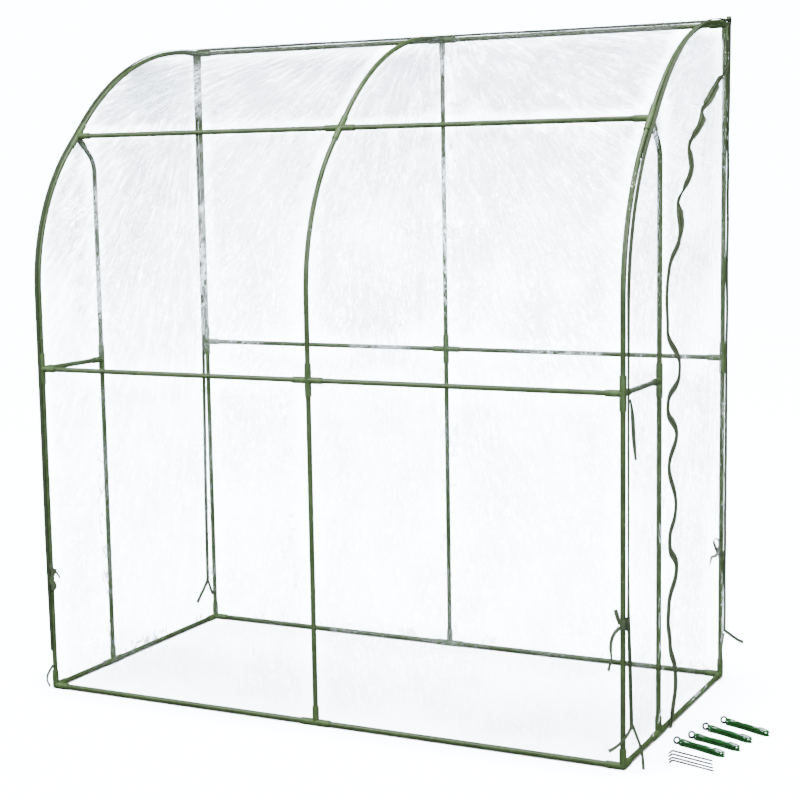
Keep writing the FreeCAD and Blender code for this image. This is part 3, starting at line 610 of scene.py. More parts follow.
# The zip from the floor up and back to the hinge, in shares of the doorway's width, from the post, and height
ZIP_ROUTE = [
    (0.133, 0.001), (0.133, 0.020), (0.187, 0.066), (0.097, 0.135), (0.081, 0.192),
    (0.188, 0.242), (0.081, 0.290), (0.187, 0.331), (0.087, 0.405), (0.178, 0.447),
    (0.060, 0.494), (0.232, 0.537), (0.063, 0.607), (0.075, 0.694), (0.223, 0.741),
    (0.196, 0.785), (0.380, 0.838), (0.359, 0.868), (0.502, 0.901), (0.570, 0.927),
    (0.796, 0.969), (1.0, 1.0),
]
DOOR_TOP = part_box("door_flap")[1][2]
DOOR_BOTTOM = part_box("door_flap")[0][2]
DOOR_COLUMNS = 48

# The width of each of the zip's two tapes, and how strong the zip's small waves are, in millimetres
ZIP_TAPE = 13 * MM
ZIP_WAVES = 18


def zip_line():
    """The zip's line in the end panel's plane, with small waves over its upright part."""
    curve = bpy.data.curves.new("zip_line", "CURVE")
    curve.dimensions = "3D"
    spline = curve.splines.new("BEZIER")
    spline.bezier_points.add(len(ZIP_ROUTE) - 1)
    for point, (share, rise) in zip(spline.bezier_points, ZIP_ROUTE):
        point.co = (0, (1 - share) * POST, max(rise * DOOR_TOP, HEM))
        point.handle_left_type = point.handle_right_type = "AUTO"
    spline.resolution_u = 24
    spots = []
    for spot in drawn_spots(curve):
        loose = read_off(spot.z, [(0.10, 0), (0.25, 1), (1.2, 1), (1.35, 0)])
        spots.append(spot + Y * noise.noise(Vector((0, 3, spot.z * 13))) * loose * ZIP_WAVES * MM)
    return spots


ZIP = zip_line()
ZIP_Z = np.array([spot.z for spot in ZIP])
ZIP_Y = np.array([spot.y for spot in ZIP])


def zip_y(z):
    return float(np.interp(z, ZIP_Z, ZIP_Y))


def right_end_films(material):
    """The panel in front of the zip and over the door, and the door between the zip and the hinge."""

    def place(u, v, off):
        return Vector((END + FILM_LINE + off, u, v))

    def panel_edges(v):
        return front_edge(v) + 1 * MM, (zip_y(v) - 0.5 * MM if v < DOOR_TOP else FILM_LINE - 1 * MM)

    panel = flat_film("film_right_end", material, place, panel_edges, held=END_HELD, seed=23.0, haze_and_shade=0.1)
    door_rows = []
    for v in spaced(DOOR_BOTTOM - 8 * MM, DOOR_TOP - 1 * MM, ROOF_STEP):
        start, end = zip_y(v) + 0.5 * MM, -0.5 * MM
        row = []
        for share in np.linspace(0, 1, DOOR_COLUMNS):
            u = start + (end - start) * share
            free = near_frame(u, v, [(0, 0), (1, BASE)]) * grown(u, start, 50 * MM)
            slack = (0.3 + 0.7 * min(1, v / 2)) * free
            off = crumple(u, v, 29.0) * free
            # the door is drawn hazier, and so greyer, from 1.3 m up: painted shade
            row.append((place(u, v, off), u, v, slack, 0.1 + 0.6 * grown(v, 1.3, 0.7), rucked(u, v)))
        door_rows.append(row)
    return panel, film_piece("film_door", door_rows, material, RIDGE)


# Teeth and stitches


def block_row_tree():
    """Geometry Nodes that set blocks along a line at an even spacing, each turned with the line."""
    tree = bpy.data.node_groups.new("blocks_along_a_line", "GeometryNodeTree")
    sides = tree.interface
    sides.new_socket(name="Line", in_out="INPUT", socket_type="NodeSocketGeometry")
    for name in ("Spacing", "Length", "Width", "Height"):
        sides.new_socket(name=name, in_out="INPUT", socket_type="NodeSocketFloat")
    sides.new_socket(name="Finish", in_out="INPUT", socket_type="NodeSocketMaterial")
    sides.new_socket(name="Blocks", in_out="OUTPUT", socket_type="NodeSocketGeometry")

    def node(kind, sockets, output=0, settings=None):
        return add(tree, kind, settings, sockets).outputs[output]

    given = add(tree, "NodeGroupInput").outputs
    curve = node("GeometryNodeMeshToCurve", {"Mesh": given["Line"]})
    spacing = {"Curve": curve, "Length": given["Spacing"]}
    even = node("GeometryNodeResampleCurve", spacing, settings={"mode": "LENGTH"})
    vector = {"data_type": "FLOAT_VECTOR"}
    across = node("GeometryNodeInputNamedAttribute", {"Name": "across"}, "Attribute", vector)
    axes = {"Primary Axis": node("GeometryNodeInputTangent", {}), "Secondary Axis": across}
    turn = node("FunctionNodeAxesToRotation", axes, settings={"primary_axis": "X", "secondary_axis": "Y"})
    sizes = {"X": given["Length"], "Y": given["Width"], "Z": given["Height"]}
    block = node("GeometryNodeMeshCube", {"Size": node("ShaderNodeCombineXYZ", sizes)}, "Mesh")
    placed = node("GeometryNodeInstanceOnPoints", {"Points": even, "Instance": block, "Rotation": turn})
    real = node("GeometryNodeRealizeInstances", {"Geometry": placed})
    dressed = node("GeometryNodeSetMaterial", {"Geometry": real, "Material": given["Finish"]})
    add(tree, "NodeGroupOutput", sockets={"Blocks": dressed})
    return tree


def blocks_along(name, tree, spots, across, spacing, extent, material):
    """A plain mesh of small blocks along the spots: extent is each block's length, width and height."""
    line = bpy.data.meshes.new(name + "_line")
    line.from_pydata([tuple(spot) for spot in spots], [(i, i + 1) for i in range(len(spots) - 1)], [])
    sides = line.attributes.new("across", "FLOAT_VECTOR", "POINT")
    sides.data.foreach_set("vector", [value for side in across for value in side])
    piece = put_in_scene(name, line)
    modifier = piece.modifiers.new("blocks", "NODES")
    modifier.node_group = tree
    values = dict(zip(("Spacing", "Length", "Width", "Height", "Finish"), (spacing, *extent, material)))
    for item in tree.interface.items_tree:
        if item.in_out == "INPUT" and item.name in values:
            modifier[item.identifier] = values[item.name]
    made = drawn_mesh(piece)
    piece.modifiers.clear()
    piece.data = made
    made.name = name
    bpy.data.meshes.remove(line)
    return piece


# The zip's tapes

# How far the zip's tapes are turned out of the panel: (height in metres, degrees)
ZIP_TURNS = [
    (0.00, 14), (0.10, 9), (0.25, 7), (0.50, 9), (0.70, 3), (0.90, 6), (1.15, 0),
    (1.30, 1), (1.43, 1), (1.48, 8), (1.515, 30), (1.55, 34), (1.605, -18), (1.64, 6),
    (1.68, 20), (1.72, 18), (1.765, -8), (1.795, 12), (1.83, 38), (1.862, -8), (1.89, 38),
    (1.94, 22), (1.957, -20), (1.975, -12), (2.003, -5),
]

# The coil's teeth are about 2 mm apart, drawn at 5 mm so that they show
TOOTH_SPACING = 5 * MM
TOOTH = (3.2 * MM, 2.8 * MM, 2.4 * MM)

# The door's half of the zip stops this far in front of the hinge, so that it swings past the upright
HINGE_CLEAR = 11 * MM


def zip_halves(tape_material, teeth_material, row_tree):
    """The zip's two tapes, which twist together as the film puckers, with the teeth between them."""
    spots, across = [], []
    flat = along([(0, y, z) for y, z in zip(ZIP_Y, ZIP_Z)], 5 * MM, smooth=False)
    for spot, way in zip(flat, headings(flat)):
        angle = math.radians(read_off(spot.z, ZIP_TURNS))
        stand_off = FILM_LINE + 1.4 * MM + abs(math.sin(angle)) * ZIP_TAPE
        spots.append(Vector((END + stand_off, spot.y, spot.z)))
        across.append(turned(X.cross(way) * -1, way, -angle))
    halves = {}
    for body, way in (("greenhouse", -1), ("door", 1)):
        on_panel = body == "greenhouse"
        first_tooth = TOOTH_SPACING / 2 if on_panel else 0
        tape_rows, tooth_rows = [], []
        for spot, side, distance in zip(spots, across, travel(spots)):
            if not on_panel and spot.y >= -HINGE_CLEAR:
                continue
            tape_middle = spot + side * way * (ZIP_TAPE / 2 + 0.3 * MM)
            if on_panel or tape_middle.z > DOOR_BOTTOM:
                tape_rows.append((tape_middle, side, ZIP_TAPE * (1 + 0.08 * noise.noise(spot * 40))))
            if spot.z > DOOR_BOTTOM and distance >= first_tooth:
                tooth_rows.append((spot + side * way * 1.3 * MM, side))
        if on_panel:
            # half a step on, so that each half's teeth stand in the other's gaps
            tooth_rows[0] = (tooth_rows[0][0].lerp(tooth_rows[1][0], 0.5), tooth_rows[0][1])
        tape = strip("zip_tape_" + body, *zip(*tape_rows), 0.9 * MM, tape_material)
        line, sides = zip(*tooth_rows)
        teeth = blocks_along("zip_teeth_" + body, row_tree, line, sides, TOOTH_SPACING, TOOTH, teeth_material)
        halves[body] = (tape, teeth)
    return halves


# Folded tapes along the cover's edges

# Where the tapes end above the floor, at the front and down the back
FRONT_TAPE_BOTTOM = 128 * MM
REAR_TAPE_BOTTOM = 152 * MM
TAPE_THICKNESS = 1.4 * MM

# A seam's stitches are about 3 mm long, drawn longer so that they show
STITCH_SPACING = 8 * MM
STITCH = (5 * MM, 0.9 * MM, 1.9 * MM)

# The right tape on its way up the front and over the roof, as (height in metres, millimetres or degrees): its
# middle beyond the end, its width and its turn out of the cover
RIGHT_REACH = [(0.13, 29), (0.3, 25), (0.45, 20), (1.0, 19.5), (1.4, 20), (1.8, 19.5), (2.13, 13)]
RIGHT_WIDTH = [(0.13, 12), (0.35, 12), (0.5, 9), (1.1, 9), (1.4, 13)]
RIGHT_TURN = [(0.13, 10), (0.3, 12), (0.45, 16), (0.6, 42), (1.2, 30), (1.8, 18), (2.05, 5)]

# Its loop over the ridge, in millimetres beyond the end, behind the uprights and above the ridge, and its
# width down the back
OVER_RIDGE = [(12, -6, 17), (11, 0, 24), (11, 5, 26), (11, 10, 21), (11, 12.5, 12)]
REAR_RIGHT_WIDTH = [(0.15, 9), (1.8, 9), (2.0, 12), (2.14, 14)]

# The left tape's middle beyond the end, its width, and how far in front of the rear uprights it runs down
LEFT_REACH = [(0.13, 3.0), (0.5, 5.0), (0.9, 4.0)]
LEFT_WIDTH = [(0.13, 9), (0.5, 13), (0.9, 12)]
REAR_LEFT_FORWARD = [(0.15, 26), (0.5, 20), (1.1, 4)]


def right_tape_run(line):
    """The right tape, up the front, over the ridge and down the back: spots, directions across and widths."""
    spots, across, widths = [], [], []
    for spot, out in line:
        wave = noise.noise(Vector((0, spot.y * 9, spot.z * 9)))
        reach = read_off(spot.z, RIGHT_REACH) * MM
        spots.append(spot + X * (END + reach) + out * (FILM_LINE + wave * 1.5 * MM))
        across.append(turned(X, out.cross(X), math.radians(-read_off(spot.z, RIGHT_TURN))))
        widths.append(read_off(spot.z, RIGHT_WIDTH) * MM)
    over = [Vector((END + reach * MM, y * MM, RIDGE + rise * MM)) for reach, y, rise in OVER_RIDGE]
    rear = [Vector((END + 10 * MM, 12.5 * MM, z)) for z in np.linspace(RIDGE - 5 * MM, REAR_TAPE_BOTTOM, 60)]
    for spot in over + rear:
        wave = noise.noise(Vector((4, 0, spot.z * 7)))
        spots.append(spot + X * wave * 1.5 * MM)
        across.append(X if spot.z > RIDGE - 10 * MM else turned(X, Z, math.radians(20 + 25 * wave)))
        widths.append(read_off(spot.z, REAR_RIGHT_WIDTH) * MM)
    return spots, across, widths


def left_tape_run(line):
    """The left tape, in the same way."""
    spots, across, widths = [], [], []
    for spot, out in line:
        beside = read_off(spot.z, LEFT_REACH) * MM
        spots.append(spot - X * (END + beside) + out * (FILM_LINE - 0.9 * MM))
        across.append(X)
        widths.append(read_off(spot.z, LEFT_WIDTH) * MM)
    for z in np.linspace(RIDGE, REAR_TAPE_BOTTOM, 60):
        forward = read_off(z, REAR_LEFT_FORWARD) * MM
        spots.append(Vector((-END - FILM_LINE - 3 * MM, -forward, z)))
        across.append(Vector((0.9, 0.44, 0)))
        widths.append(12 * MM)
    return spots, across, widths


def ridge_tape_run():
    """The ridge's tape, which stands up along it."""
    spots = []
    for x in np.linspace(-COVER_END, COVER_END, 200):
        wave = noise.noise(Vector((x * 3.3, 5, 0))) * 1.6 * MM
        spots.append(Vector((x, FILM_LINE - 1.5 * MM, RIDGE + FILM_LINE + 2.5 * MM + wave)))
    return spots, [Z] * len(spots), [8 * MM] * len(spots)


def edge_tapes(material, thread, row_tree):
    """Folded tapes along the left end, the right end and the ridge, each with its row of stitches."""
    line = [(spot, out) for spot, out in cover_line(8 * MM) if spot.z > FRONT_TAPE_BOTTOM]
    runs = {
        "edge_tape_left": left_tape_run(line),
        "edge_tape_right": right_tape_run(line),
        "edge_tape_ridge": ridge_tape_run(),
    }
    tapes = []
    for node, (spots, across, widths) in runs.items():
        tape = strip(node, spots, across, widths, TAPE_THICKNESS, material)
        seam = blocks_along("stitches_" + node, row_tree, spots, across, STITCH_SPACING, STITCH, thread)
        tapes += [(node, tape), (node, seam)]
    return tapes


# Ribbons

# The uprights that ribbons hang by, as seen from above
FRONT_RIGHT, REAR_RIGHT = (END, FRONT), (END, 0)
FRONT_LEFT, REAR_LEFT = (-END, FRONT), (-END, 0)

# The ribbons are drawn a quarter wider than the widths below so that they show
RIBBON_DRAWN_WIDER = 1.25
RIBBON_THICKNESS = 0.8 * MM
BAND_WIDTH = 9 * MM
BAND_TURNS = 3.2

# Bands round an upright, in millimetres: how far beyond its middle, lowest and highest place, radius
BANDS = [
    ("front_tie_band", FRONT_RIGHT, 1.5, 402, 434, 11),
    ("rear_tie_band", REAR_RIGHT, 0, 405, 425, 9.2),
    ("left_tie_band", FRONT_LEFT, 0, 350, 375, 9.2),
]

# Ribbons, in millimetres: an upright, control points (right of it, behind it, above the floor), and widths
# from end to end. Some have a twist, in turns, or a direction across the start of their own
RIBBONS = [
    ("front_tie_stub", FRONT_RIGHT, [(-6, -9, 420), (-11, -14, 440), (-16, -17, 464)], (8, 10, 10), 0.1),
    ("front_tie_tail", FRONT_RIGHT,
     [(-6, -9, 412), (-18, -12, 400), (-28, -13, 380), (-33, -13, 350), (-28, -12, 322), (-34, -12, 304),
      (-39, -12, 284)],
     (9, 9, 9, 9, 6, 7, 9), 0.05),
    ("side_tie_tail", FRONT_RIGHT,
     [(17, 12, 1052), (21, 14, 1026), (24, 15, 985), (26, 16, 930), (31, 18, 882)],
     (4, 9, 10, 9, 6)),
    ("front_right_tail_inward", FRONT_RIGHT,
     [(32, -12, 138), (22, -13, 112), (0, -14, 82), (-24, -14, 60), (-38, -13, 52)],
     (8, 7, 7, 7, 9)),
    ("front_right_tail_outward", FRONT_RIGHT,
     [(32, -12, 138), (42, -10, 110), (53, -6, 80), (59, -4, 50), (61, -4, 24), (62, -4, 9)],
     (8, 7, 7, 7.5, 7.5, 8)),
    ("rear_right_tail_outward", REAR_RIGHT,
     [(11, 12, 157), (24, 12, 149), (44, 11, 136), (64, 9, 127), (76, 8, 124)],
     (9, 9, 9, 9, 10), 0.02, Z),
    ("rear_right_tail_forward", REAR_RIGHT,
     [(10, 4, 150), (9, -14, 118), (8, -34, 84), (8, -48, 56)],
     (8, 8, 7, 8)),
    ("rear_tie_bow", REAR_RIGHT,
     [(-7, -8, 418), (-14, -14, 440), (-22, -18, 462), (-12, -20, 476), (0, -16, 462), (-4, -12, 430),
      (-14, -16, 410), (-26, -22, 412), (-28, -26, 388), (-34, -26, 374)],
     (8, 8), 0.8),
    ("left_tie_bow", FRONT_LEFT,
     [(2, -10, 424), (11, -11, 412), (20, -12, 394), (10, -12, 378), (4, -11, 366)],
     (9, 14, 14, 12, 8), 0.05),
    ("left_tie_loop", FRONT_LEFT,
     [(16, -12, 396), (28, -13, 402), (38, -13, 392), (45, -13, 380)],
     (7, 7, 7, 8), 0.05, Z),
    ("left_tie_end", FRONT_LEFT, [(16, -12, 384), (23, -13, 392), (30, -13, 410)], (6, 7, 7), 0.05),
    ("left_tie_leaf", FRONT_LEFT,
     [(4, -10, 372), (15, -12, 362), (22, -12, 348), (12, -12, 336)],
     (8, 17, 17, 9)),
    ("left_tail", FRONT_LEFT,
     [(0, -12, 80), (-11, -13, 64), (-22, -14, 46), (-26, -14, 30), (-22, -13, 16), (-14, -13, 7)],
     (7, 7.5, 7.5, 7.5, 8, 9)),
    ("rear_left_tail_outward", REAR_LEFT,
     [(-15, -26, 156), (-26, -30, 124), (-42, -34, 96), (-56, -38, 64)],
     (10, 10, 10, 11)),
    ("rear_left_tail_inward", REAR_LEFT,
     [(-15, -26, 156), (-10, -14, 124), (-4, -12, 96)],
     (10, 10, 10)),
]


def twisting(spots, start, turns):
    """Directions across a ribbon that twists so many turns along its spots."""
    side = start
    directions = []
    for index, way in enumerate(headings(spots)):
        side = (side - way * side.dot(way)).normalized()
        directions.append(turned(side, way, 2 * math.pi * turns * index / (len(spots) - 1)))
    return directions


def ribbon(material, name, upright, points, widths, turns=0.02, start=X):
    """A woven ribbon beside an upright."""
    spots = along([Vector((upright[0] / MM + x, upright[1] / MM + y, z)) * MM for x, y, z in points], 4 * MM)
    share = np.linspace(0, 1, len(spots))
    given = np.interp(share, np.linspace(0, 1, len(widths)), widths)
    wide = [float(width) * RIBBON_DRAWN_WIDER * MM for width in given]
    return strip(name, spots, twisting(spots, start, turns), wide, RIBBON_THICKNESS, material)


def upright_band(material, name, upright, beyond, low, high, radius):
    """A ribbon wrapped closely round an upright, with its measures in millimetres."""
    middle_line = Vector((upright[0] / MM + beyond, upright[1] / MM, 0)) * MM
    spots = []
    for share in np.linspace(0, 1, 60):
        angle = 2 * math.pi * BAND_TURNS * share
        out = Vector((math.cos(angle), math.sin(angle), 0)) * (radius * MM)
        spots.append(middle_line + out + Z * ((low + (high - low) * share) * MM))
    return strip(name, spots, [Z] * len(spots), [BAND_WIDTH] * len(spots), RIBBON_THICKNESS, material)


def ribbons(material):
    """The ties round the frame, with their loose ends, and the tails at the lower ends of the tapes."""
    pieces = [upright_band(material, *band) for band in BANDS]
    pieces += [ribbon(material, *row) for row in RIBBONS]
    return join_pieces("ribbon_ties", pieces)


# Guy ropes

ROPE = 2.8 * MM

# A hank: how far apart its runs lie, half its length, its layers of turns and the rise from one to the next
LANE = 3.3 * MM / 0.8
HANK_HALF = 71 * MM
HANK_LAYERS = 5
LAYER_RISE = 4.0 * MM

# The hanks' rings, in millimetres beyond the right end and behind the front, and each hank's turn in degrees
HANK_PLACES = [(72, 275, -21), (97, 341, -20), (113, 433, -23), (145, 516, -24)]
RING_ACROSS = 20 * MM
RING_WIRE = 2.5 * MM

# From a ring's middle to its hank's, so that the hank's end loop lies at the ring
RING_TO_HANK = HANK_HALF + (ROPE + RING_ACROSS + RING_WIRE) / 2 + 0.3 * MM + 1.5 * LANE

# How each layer lies, in millimetres: further at the ring's end, further at the far end, to the side
LAYER_LIES = [(0, 1, 1.1), (2, -3, -1.1), (-1, 2, 1.2), (1, -5, -0.9), (-2, 1, 0.9)]

# How wide and how high a hank is along its length: full by the ring, a neck, a belly, and full far off
HANK_SPREAD = [
    (0.0, 1.15), (0.08, 1.25), (0.2, 0.8), (0.4, 1.25), (0.52, 1.0), (0.74, 0.95), (0.88, 1.2), (1.0, 1.0),
]
HANK_LIFT = [(0.0, 1.02), (0.1, 1.08), (0.22, 0.78), (0.42, 1.08), (0.58, 0.92), (0.86, 1.06), (1.0, 0.88)]


def hank_shape(spot, layer):
    """Moves a neat hank's spot to where the loose one has it: a neck, a belly and loops that spread."""
    near, far, side = LAYER_LIES[layer]
    share = (spot.x + HANK_HALF) / (2 * HANK_HALF)
    x = spot.x + (near * (1 - share) + far * share) * MM
    sway = math.sin(share * 5.2) * 1.3 * MM
    # the middle turns lie in the gaps between the outer ones, and the top layer sinks in
    nested = 1.9 * MM * (1 - min(1.0, abs(spot.y) / LANE))
    if layer == HANK_LAYERS - 1:
        nested -= 1.6 * MM
    y = spot.y * read_off(share, HANK_SPREAD) + side * MM + sway
    return Vector((x, y, ROPE / 2 + (spot.z + nested) * read_off(share, HANK_LIFT)))


def hank_points():
    """A rope's control points: flat loops that spiral out and in again, climbing a layer along a side."""
    points = []

    def side_run(start, end, layer):
        for share in (0.06, 0.28, 0.5, 0.72, 0.94):
            x = start.x + (end.x - start.x) * share
            z = start.z + (end.z - start.z) * grown(share, 0.2, 0.6)
            points.append(hank_shape(Vector((x, start.y, z)), layer))

    def end_turn(start, far_y, layer):
        centre = Vector((start.x, (start.y + far_y) / 2, start.z))
        outward = math.copysign(1, start.x)
        begin = math.copysign(1, start.y - centre.y)
        # four control points stand round half a circle, just outside it
        reach = abs(start.y - far_y) / 2 / math.cos(math.radians(22.5))
        for degrees in (67.5, 22.5, -22.5, -67.5):
            turn = math.radians(degrees)
            flat = Vector((outward * math.cos(turn), begin * math.sin(turn), 0)) * reach
            points.append(hank_shape(centre + flat, layer))

    start = Vector((-HANK_HALF, -LANE, 0))
    spot = Vector((HANK_HALF, -LANE, 0))
    points.append(hank_shape(start, 0))
    side_run(start, spot, 0)
    radius, growing = LANE, 1
    for layer in range(HANK_LAYERS):
        for turn in range(3):
            far_y = spot.y - math.copysign(2 * radius, spot.y)
            end_turn(spot, far_y, layer)
            spot = Vector((spot.x, far_y, spot.z))
            if turn < 2:
                radius += growing * LANE / 2
            elif layer == HANK_LAYERS - 1:
                break
            target = Vector((-spot.x, spot.y, spot.z + (LAYER_RISE if turn == 2 else 0)))
            side_run(spot, target, layer)
            spot = target
        growing = -growing
    side_run(spot, Vector((spot.x / 2, spot.y, spot.z)), HANK_LAYERS - 1)
    return points


def round_sweep(name, spots, radius, material, lobes=(1.0,), lay=None, closed=False):
    """A round wire or rope along the spots: lobes shape its section, which turns once in each lay."""
    around = 12
    ways = headings(spots)
    side = ways[0].orthogonal().normalized()
    rings = []
    for index, (spot, way, distance) in enumerate(zip(spots, ways, travel(spots))):
        side = (side - way * side.dot(way)).normalized()
        other = way.cross(side)
        full = 0.6 if index in (0, len(spots) - 1) and not closed else 1.0
        turn = distance / lay if lay else 0.0
        ring = []
        for k in range(around):
            angle = 2 * math.pi * (k / around + turn)
            reach = radius * lobes[k % len(lobes)] * full
            ring.append(spot + (side * math.cos(angle) + other * math.sin(angle)) * reach)
        rings.append(ring)
    return skin(name, rings, material, closed)


def ring_place(beyond, behind):
    """Where a ring lies on the floor."""
    return Vector((END + beyond * MM, FRONT + behind * MM, 0))


def rope_rings(material):
    """The hanks' wire rings, each leaning on its hank, with the wire drawn stouter so that it shows."""
    wire_radius = 3.2 * MM
    rings = []
    lean = Matrix.Rotation(math.radians(60), 3, "X")
    for number, (beyond, behind, _) in enumerate(HANK_PLACES, 1):
        spots = []
        for share in np.linspace(0, 1, 40, endpoint=False):
            angle = 2 * math.pi * share
            circle = Vector((math.cos(angle), math.sin(angle), 0))
            spots.append(ring_place(beyond, behind) + Z * 10.8 * MM + lean @ circle * 8.6 * MM)
        rings.append(round_sweep(f"ring_{number}", spots, wire_radius, material, closed=True))
    return rings


# The pegs' points, in millimetres beyond the right end and behind the front, the pegs' turn in degrees, their
# wire, drawn stouter so that it shows, and its line from the point
PEG_PLACES = [(212, 164), (220, 136), (229, 108), (237, 85)]
PEG_TURN = -17
PEG_WIRE_RADIUS = 2.5 * MM
PEG_BEND = [(0, 0), (-50, 0), (-100, 0), (-128, 0), (-137, 0), (-135.5, -9), (-134, -16), (-132.8, -24)]


def ground_pegs(material):
    """Wire pegs lying flat, each with its short leg bent past square."""
    pegs = []
    turn = Matrix.Rotation(math.radians(PEG_TURN), 3, "Z")
    for number, (beyond, behind) in enumerate(PEG_PLACES, 1):
        tip = Vector((END + beyond * MM, FRONT + behind * MM, PEG_WIRE_RADIUS))
        spots = along([tip + turn @ (Vector((x, y, 0)) * MM) for x, y in PEG_BEND], 1.5 * MM)
        pegs.append(round_sweep(f"peg_{number}", spots, PEG_WIRE_RADIUS, material))
    return join_pieces("ground_peg_wires", pegs)


def guy_ropes(material):
    """Four hanks, each one rope of three strands, with the line that each rope follows."""
    local = hank_points()
    strands = (1.0, 0.93, 0.80, 0.93)
    over_strands = ROPE / 2 * 1.12
    ropes = []
    for number, (beyond, behind, degrees) in enumerate(HANK_PLACES, 1):
        turn = Matrix.Rotation(math.radians(degrees), 3, "Z")
        centre = ring_place(beyond, behind) + turn @ (X * RING_TO_HANK)
        spots = along([centre + turn @ spot for spot in local], 1.6 * MM)
        rope = round_sweep(f"guy_rope_{number}", spots, over_strands, material, strands, lay=11 * MM)
        ropes.append((rope, spots))
    return ropes


# Camera, light and floor


def camera():
    """Stands where the photograph was taken, as worked out from the frame's corners."""
    spot = Vector((2.5163, -5.4181, 1.6608))
    azimuth, elevation, roll = (math.radians(angle) for angle in (26.487, 7.355, -0.951))
    focal_pixels, picture_width, sensor = 1710.5, 800, 36
    ahead = math.cos(elevation)
    look = Vector((-math.sin(azimuth) * ahead, math.cos(azimuth) * ahead, -math.sin(elevation)))
    level_right = Vector((math.cos(azimuth), math.sin(azimuth), 0))
    level_up = level_right.cross(look)
    right = level_right * math.cos(roll) + level_up * math.sin(roll)
    up = level_up * math.cos(roll) - level_right * math.sin(roll)
    data = bpy.data.cameras.new("camera")
    data.lens = focal_pixels / picture_width * sensor
    data.sensor_width = sensor
    data.clip_end = 100
    obj = put_in_scene("camera", data)
    turn = Matrix((right, up, -look)).transposed()
    obj.matrix_world = Matrix.Translation(spot) @ turn.to_4x4()
    bpy.context.scene.camera = obj


def softbox(name, place, aim, width, power):
    """A square studio light that faces a point."""
    data = bpy.data.lights.new(name, "AREA")
    data.shape, data.size, data.energy = "SQUARE", width, power
    light = put_in_scene(name, data)
    light.location = place
    light.rotation_euler = (Vector(aim) - Vector(place)).to_track_quat("-Z", "Y").to_euler()


def aim_lights(films):
    """The large lights leave out the film and the small ones light it alone: it glints and stays clear."""
    film_only = bpy.data.collections.new("film_only")
    all_but_film = bpy.data.collections.new("all_but_film")
    for piece in films:
        film_only.objects.link(piece)
        all_but_film.objects.link(piece)
    for entry in all_but_film.collection_objects:
        entry.light_linking.link_state = "EXCLUDE"
    for light in bpy.context.scene.objects:
        if light.type == "LIGHT" and light.name != "floor_light":
            glint = light.name.startswith("glint")
            light.light_linking.receiver_collection = film_only if glint else all_but_film


# What the camera sees behind the film: past white and a little cool, so that film that holds some of it back
# shows a cool grey
BACKDROP = (14.0, 15.6, 17.8)


def backdrop_world():
    """Surroundings that light the greenhouse evenly, with the bright backdrop where they are seen direct."""
    world = bpy.data.worlds.new("studio")
    bpy.context.scene.world = world
    world.use_nodes = True
    tree = world.node_tree
    tree.nodes.clear()
    direction = add(tree, "ShaderNodeTexCoord").outputs["Generated"]
    height = add(tree, "ShaderNodeSeparateXYZ", sockets={0: direction}).outputs["Z"]
    room = ramp(tree, height, [(0.0, "#b4b4b4"), (0.3, "#b0b0b0"), (0.8, "#ffffff"), (1.0, "#ffffff")])
    path = add(tree, "ShaderNodeLightPath").outputs
    direct = maths(tree, "MAXIMUM", path["Is Camera Ray"], path["Is Transmission Ray"])
    dim = mixed(tree, path["Is Glossy Ray"], room, linear("#3b4338"))
    shown = mixed(tree, direct, dim, (*BACKDROP, 1))
    background = add(tree, "ShaderNodeBackground", sockets={"Color": shown, "Strength": 1.0})
    output = add(tree, "ShaderNodeOutputWorld")
    tree.links.new(background.outputs[0], output.inputs["Surface"])


def white_floor():
    """A white floor with a light of its own, which neither lights the greenhouse nor shows in its gloss."""
    material = finished(new_material("studio_floor")[0], Base_Color=linear("#ffffff"), Roughness=0.9)
    reach = 60
    corners = [(-reach, -reach, 0), (reach, -reach, 0), (reach, reach, 0), (-reach, reach, 0)]
    floor = new_piece("studio_floor", corners, [(0, 1, 2, 3)], material)
    floor.visible_diffuse = False
    floor.visible_glossy = False
    data = bpy.data.lights.new("floor_light", "SUN")
    brightest = max(BACKDROP)
    data.energy = brightest * math.pi
    data.color = [channel / brightest for channel in BACKDROP]
    data.angle = math.radians(14)
    sun = put_in_scene("floor_light", data)
    lit = bpy.data.collections.new("lit_by_floor_light")
    lit.objects.link(floor)
    sun.light_linking.receiver_collection = lit


# The lights: place, the point they face, width in metres and power in watts
LIGHTS = {
    "key": ((-2.6, -4.6, 4.2), (0, -0.4, 1.0), 1.2, 300),
    "fill": ((4.6, -3.4, 3.2), (0.4, -0.4, 1.0), 1.2, 260),
    "top": ((0.5, -1.0, 5.0), (0, -0.5, 1.0), 1.6, 215),
    "glint_left": ((-2.2, -4.6, 4.4), (0, -0.4, 1.2), 0.35, 60),
    "glint_right": ((1.6, -4.2, 4.8), (0.4, -0.4, 1.4), 0.35, 60),
    "glint_high": ((0.4, -2.6, 5.6), (0.2, -0.4, 1.6), 0.35, 60),
    "glint_behind": ((0.6, 2.8, 4.4), (0.4, -0.3, 2.0), 0.5, 90),
    "glint_side": ((5.2, -1.6, 3.4), (1.0, -0.5, 1.6), 0.35, 60),
}


def studio():
    backdrop_world()
    white_floor()
    for name, light in LIGHTS.items():
        softbox(name, *light)


def dress_frame():
    """Gives each node of the frame its material."""
    finishes = {
        "slider_metal": dull_steel("painted_zinc_slider", "#39452f", "#4b573f", 0.3),
        "tube_green": powder_coated_steel(),
        "fitting_green": moulded_polypropylene(),
    }
    slots = {entry["node"]: entry["material_slot"] for entry in frame["record"]["subparts"]}
    for name, node in frame["nodes"].items():
        if slots[name] in finishes:
            for place in node.material_slots:
                place.material = finishes[slots[name]]


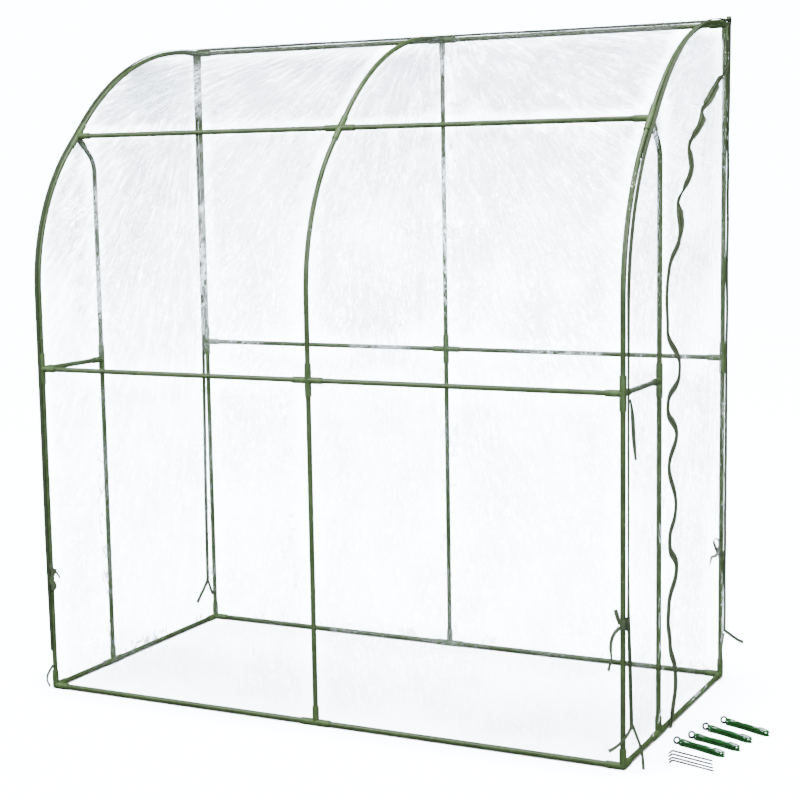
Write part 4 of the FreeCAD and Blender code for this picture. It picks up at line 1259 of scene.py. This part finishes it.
def trim():
    """Tapes, zip, ribbons and ropes."""
    tape = woven_tape("folded_edge_tape", "#26331d", "#354528")
    zip_tape = woven_tape("zip_tape", "#48563e", "#5c6a4d")
    teeth = nylon("zip_coil", "#36422c", "#48563c")
    ribbon_cloth = woven_tape("ribbon_cloth", "#3c4b31", "#526246")
    rope = woven_tape("twisted_rope", "#01480c", "#036819", 1.2 * MM)
    thread = nylon("sewing_thread", "#3d4c2e", "#4d5e3d")
    ring_steel = dull_steel("dull_ring_steel", "#141d17", "#202b23", 0.3)
    wire = dull_steel("galvanised_wire", "#4a4642", "#645e58", 0.4)
    row_tree = block_row_tree()
    for node, piece in edge_tapes(tape, thread, row_tree):
        keep(piece, node, "greenhouse")
    halves = {"greenhouse": "zip_tape_panel", "door": "zip_tape_door"}
    for body, pieces in zip_halves(zip_tape, teeth, row_tree).items():
        for piece in pieces:
            keep(piece, halves[body], body)
    keep(ribbons(ribbon_cloth), "ribbon_ties", "greenhouse")
    rings = rope_rings(ring_steel)
    for ring in rings:
        keep(ring, "rope_rings", "greenhouse")
    keep(ground_pegs(wire), "ground_pegs", "greenhouse")
    for number, (piece, spots) in enumerate(guy_ropes(rope), 1):
        keep(piece, f"rope_hank_{number}", "greenhouse")


def keep(piece, node, body):
    """Puts a piece in the place of a node, which it hides, and on a body."""
    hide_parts(node)
    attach(piece, body)


def main():
    camera()
    studio()
    dress_frame()
    film = clear_pvc_film()
    roof, roof_length = front_roof_film(film)
    back = back_film(film)
    left = left_end_film(film)
    right, door = right_end_films(film)
    sheets = [
        (roof, "front_roof_sheet", "greenhouse", (2 * COVER_END, roof_length)),
        (back, "back_sheet", "greenhouse", (2 * COVER_END, RIDGE)),
        (left, "left_end_panel", "greenhouse", (-FRONT, RIDGE)),
        (right, "right_end_panel", "greenhouse", (-FRONT, RIDGE)),
        (door, "door_flap", "door", (-POST, DOOR_TOP)),
    ]
    for piece, node, body, flat in sheets:
        keep(piece, node, body)
    aim_lights([entry[0] for entry in sheets])
    trim()


main()
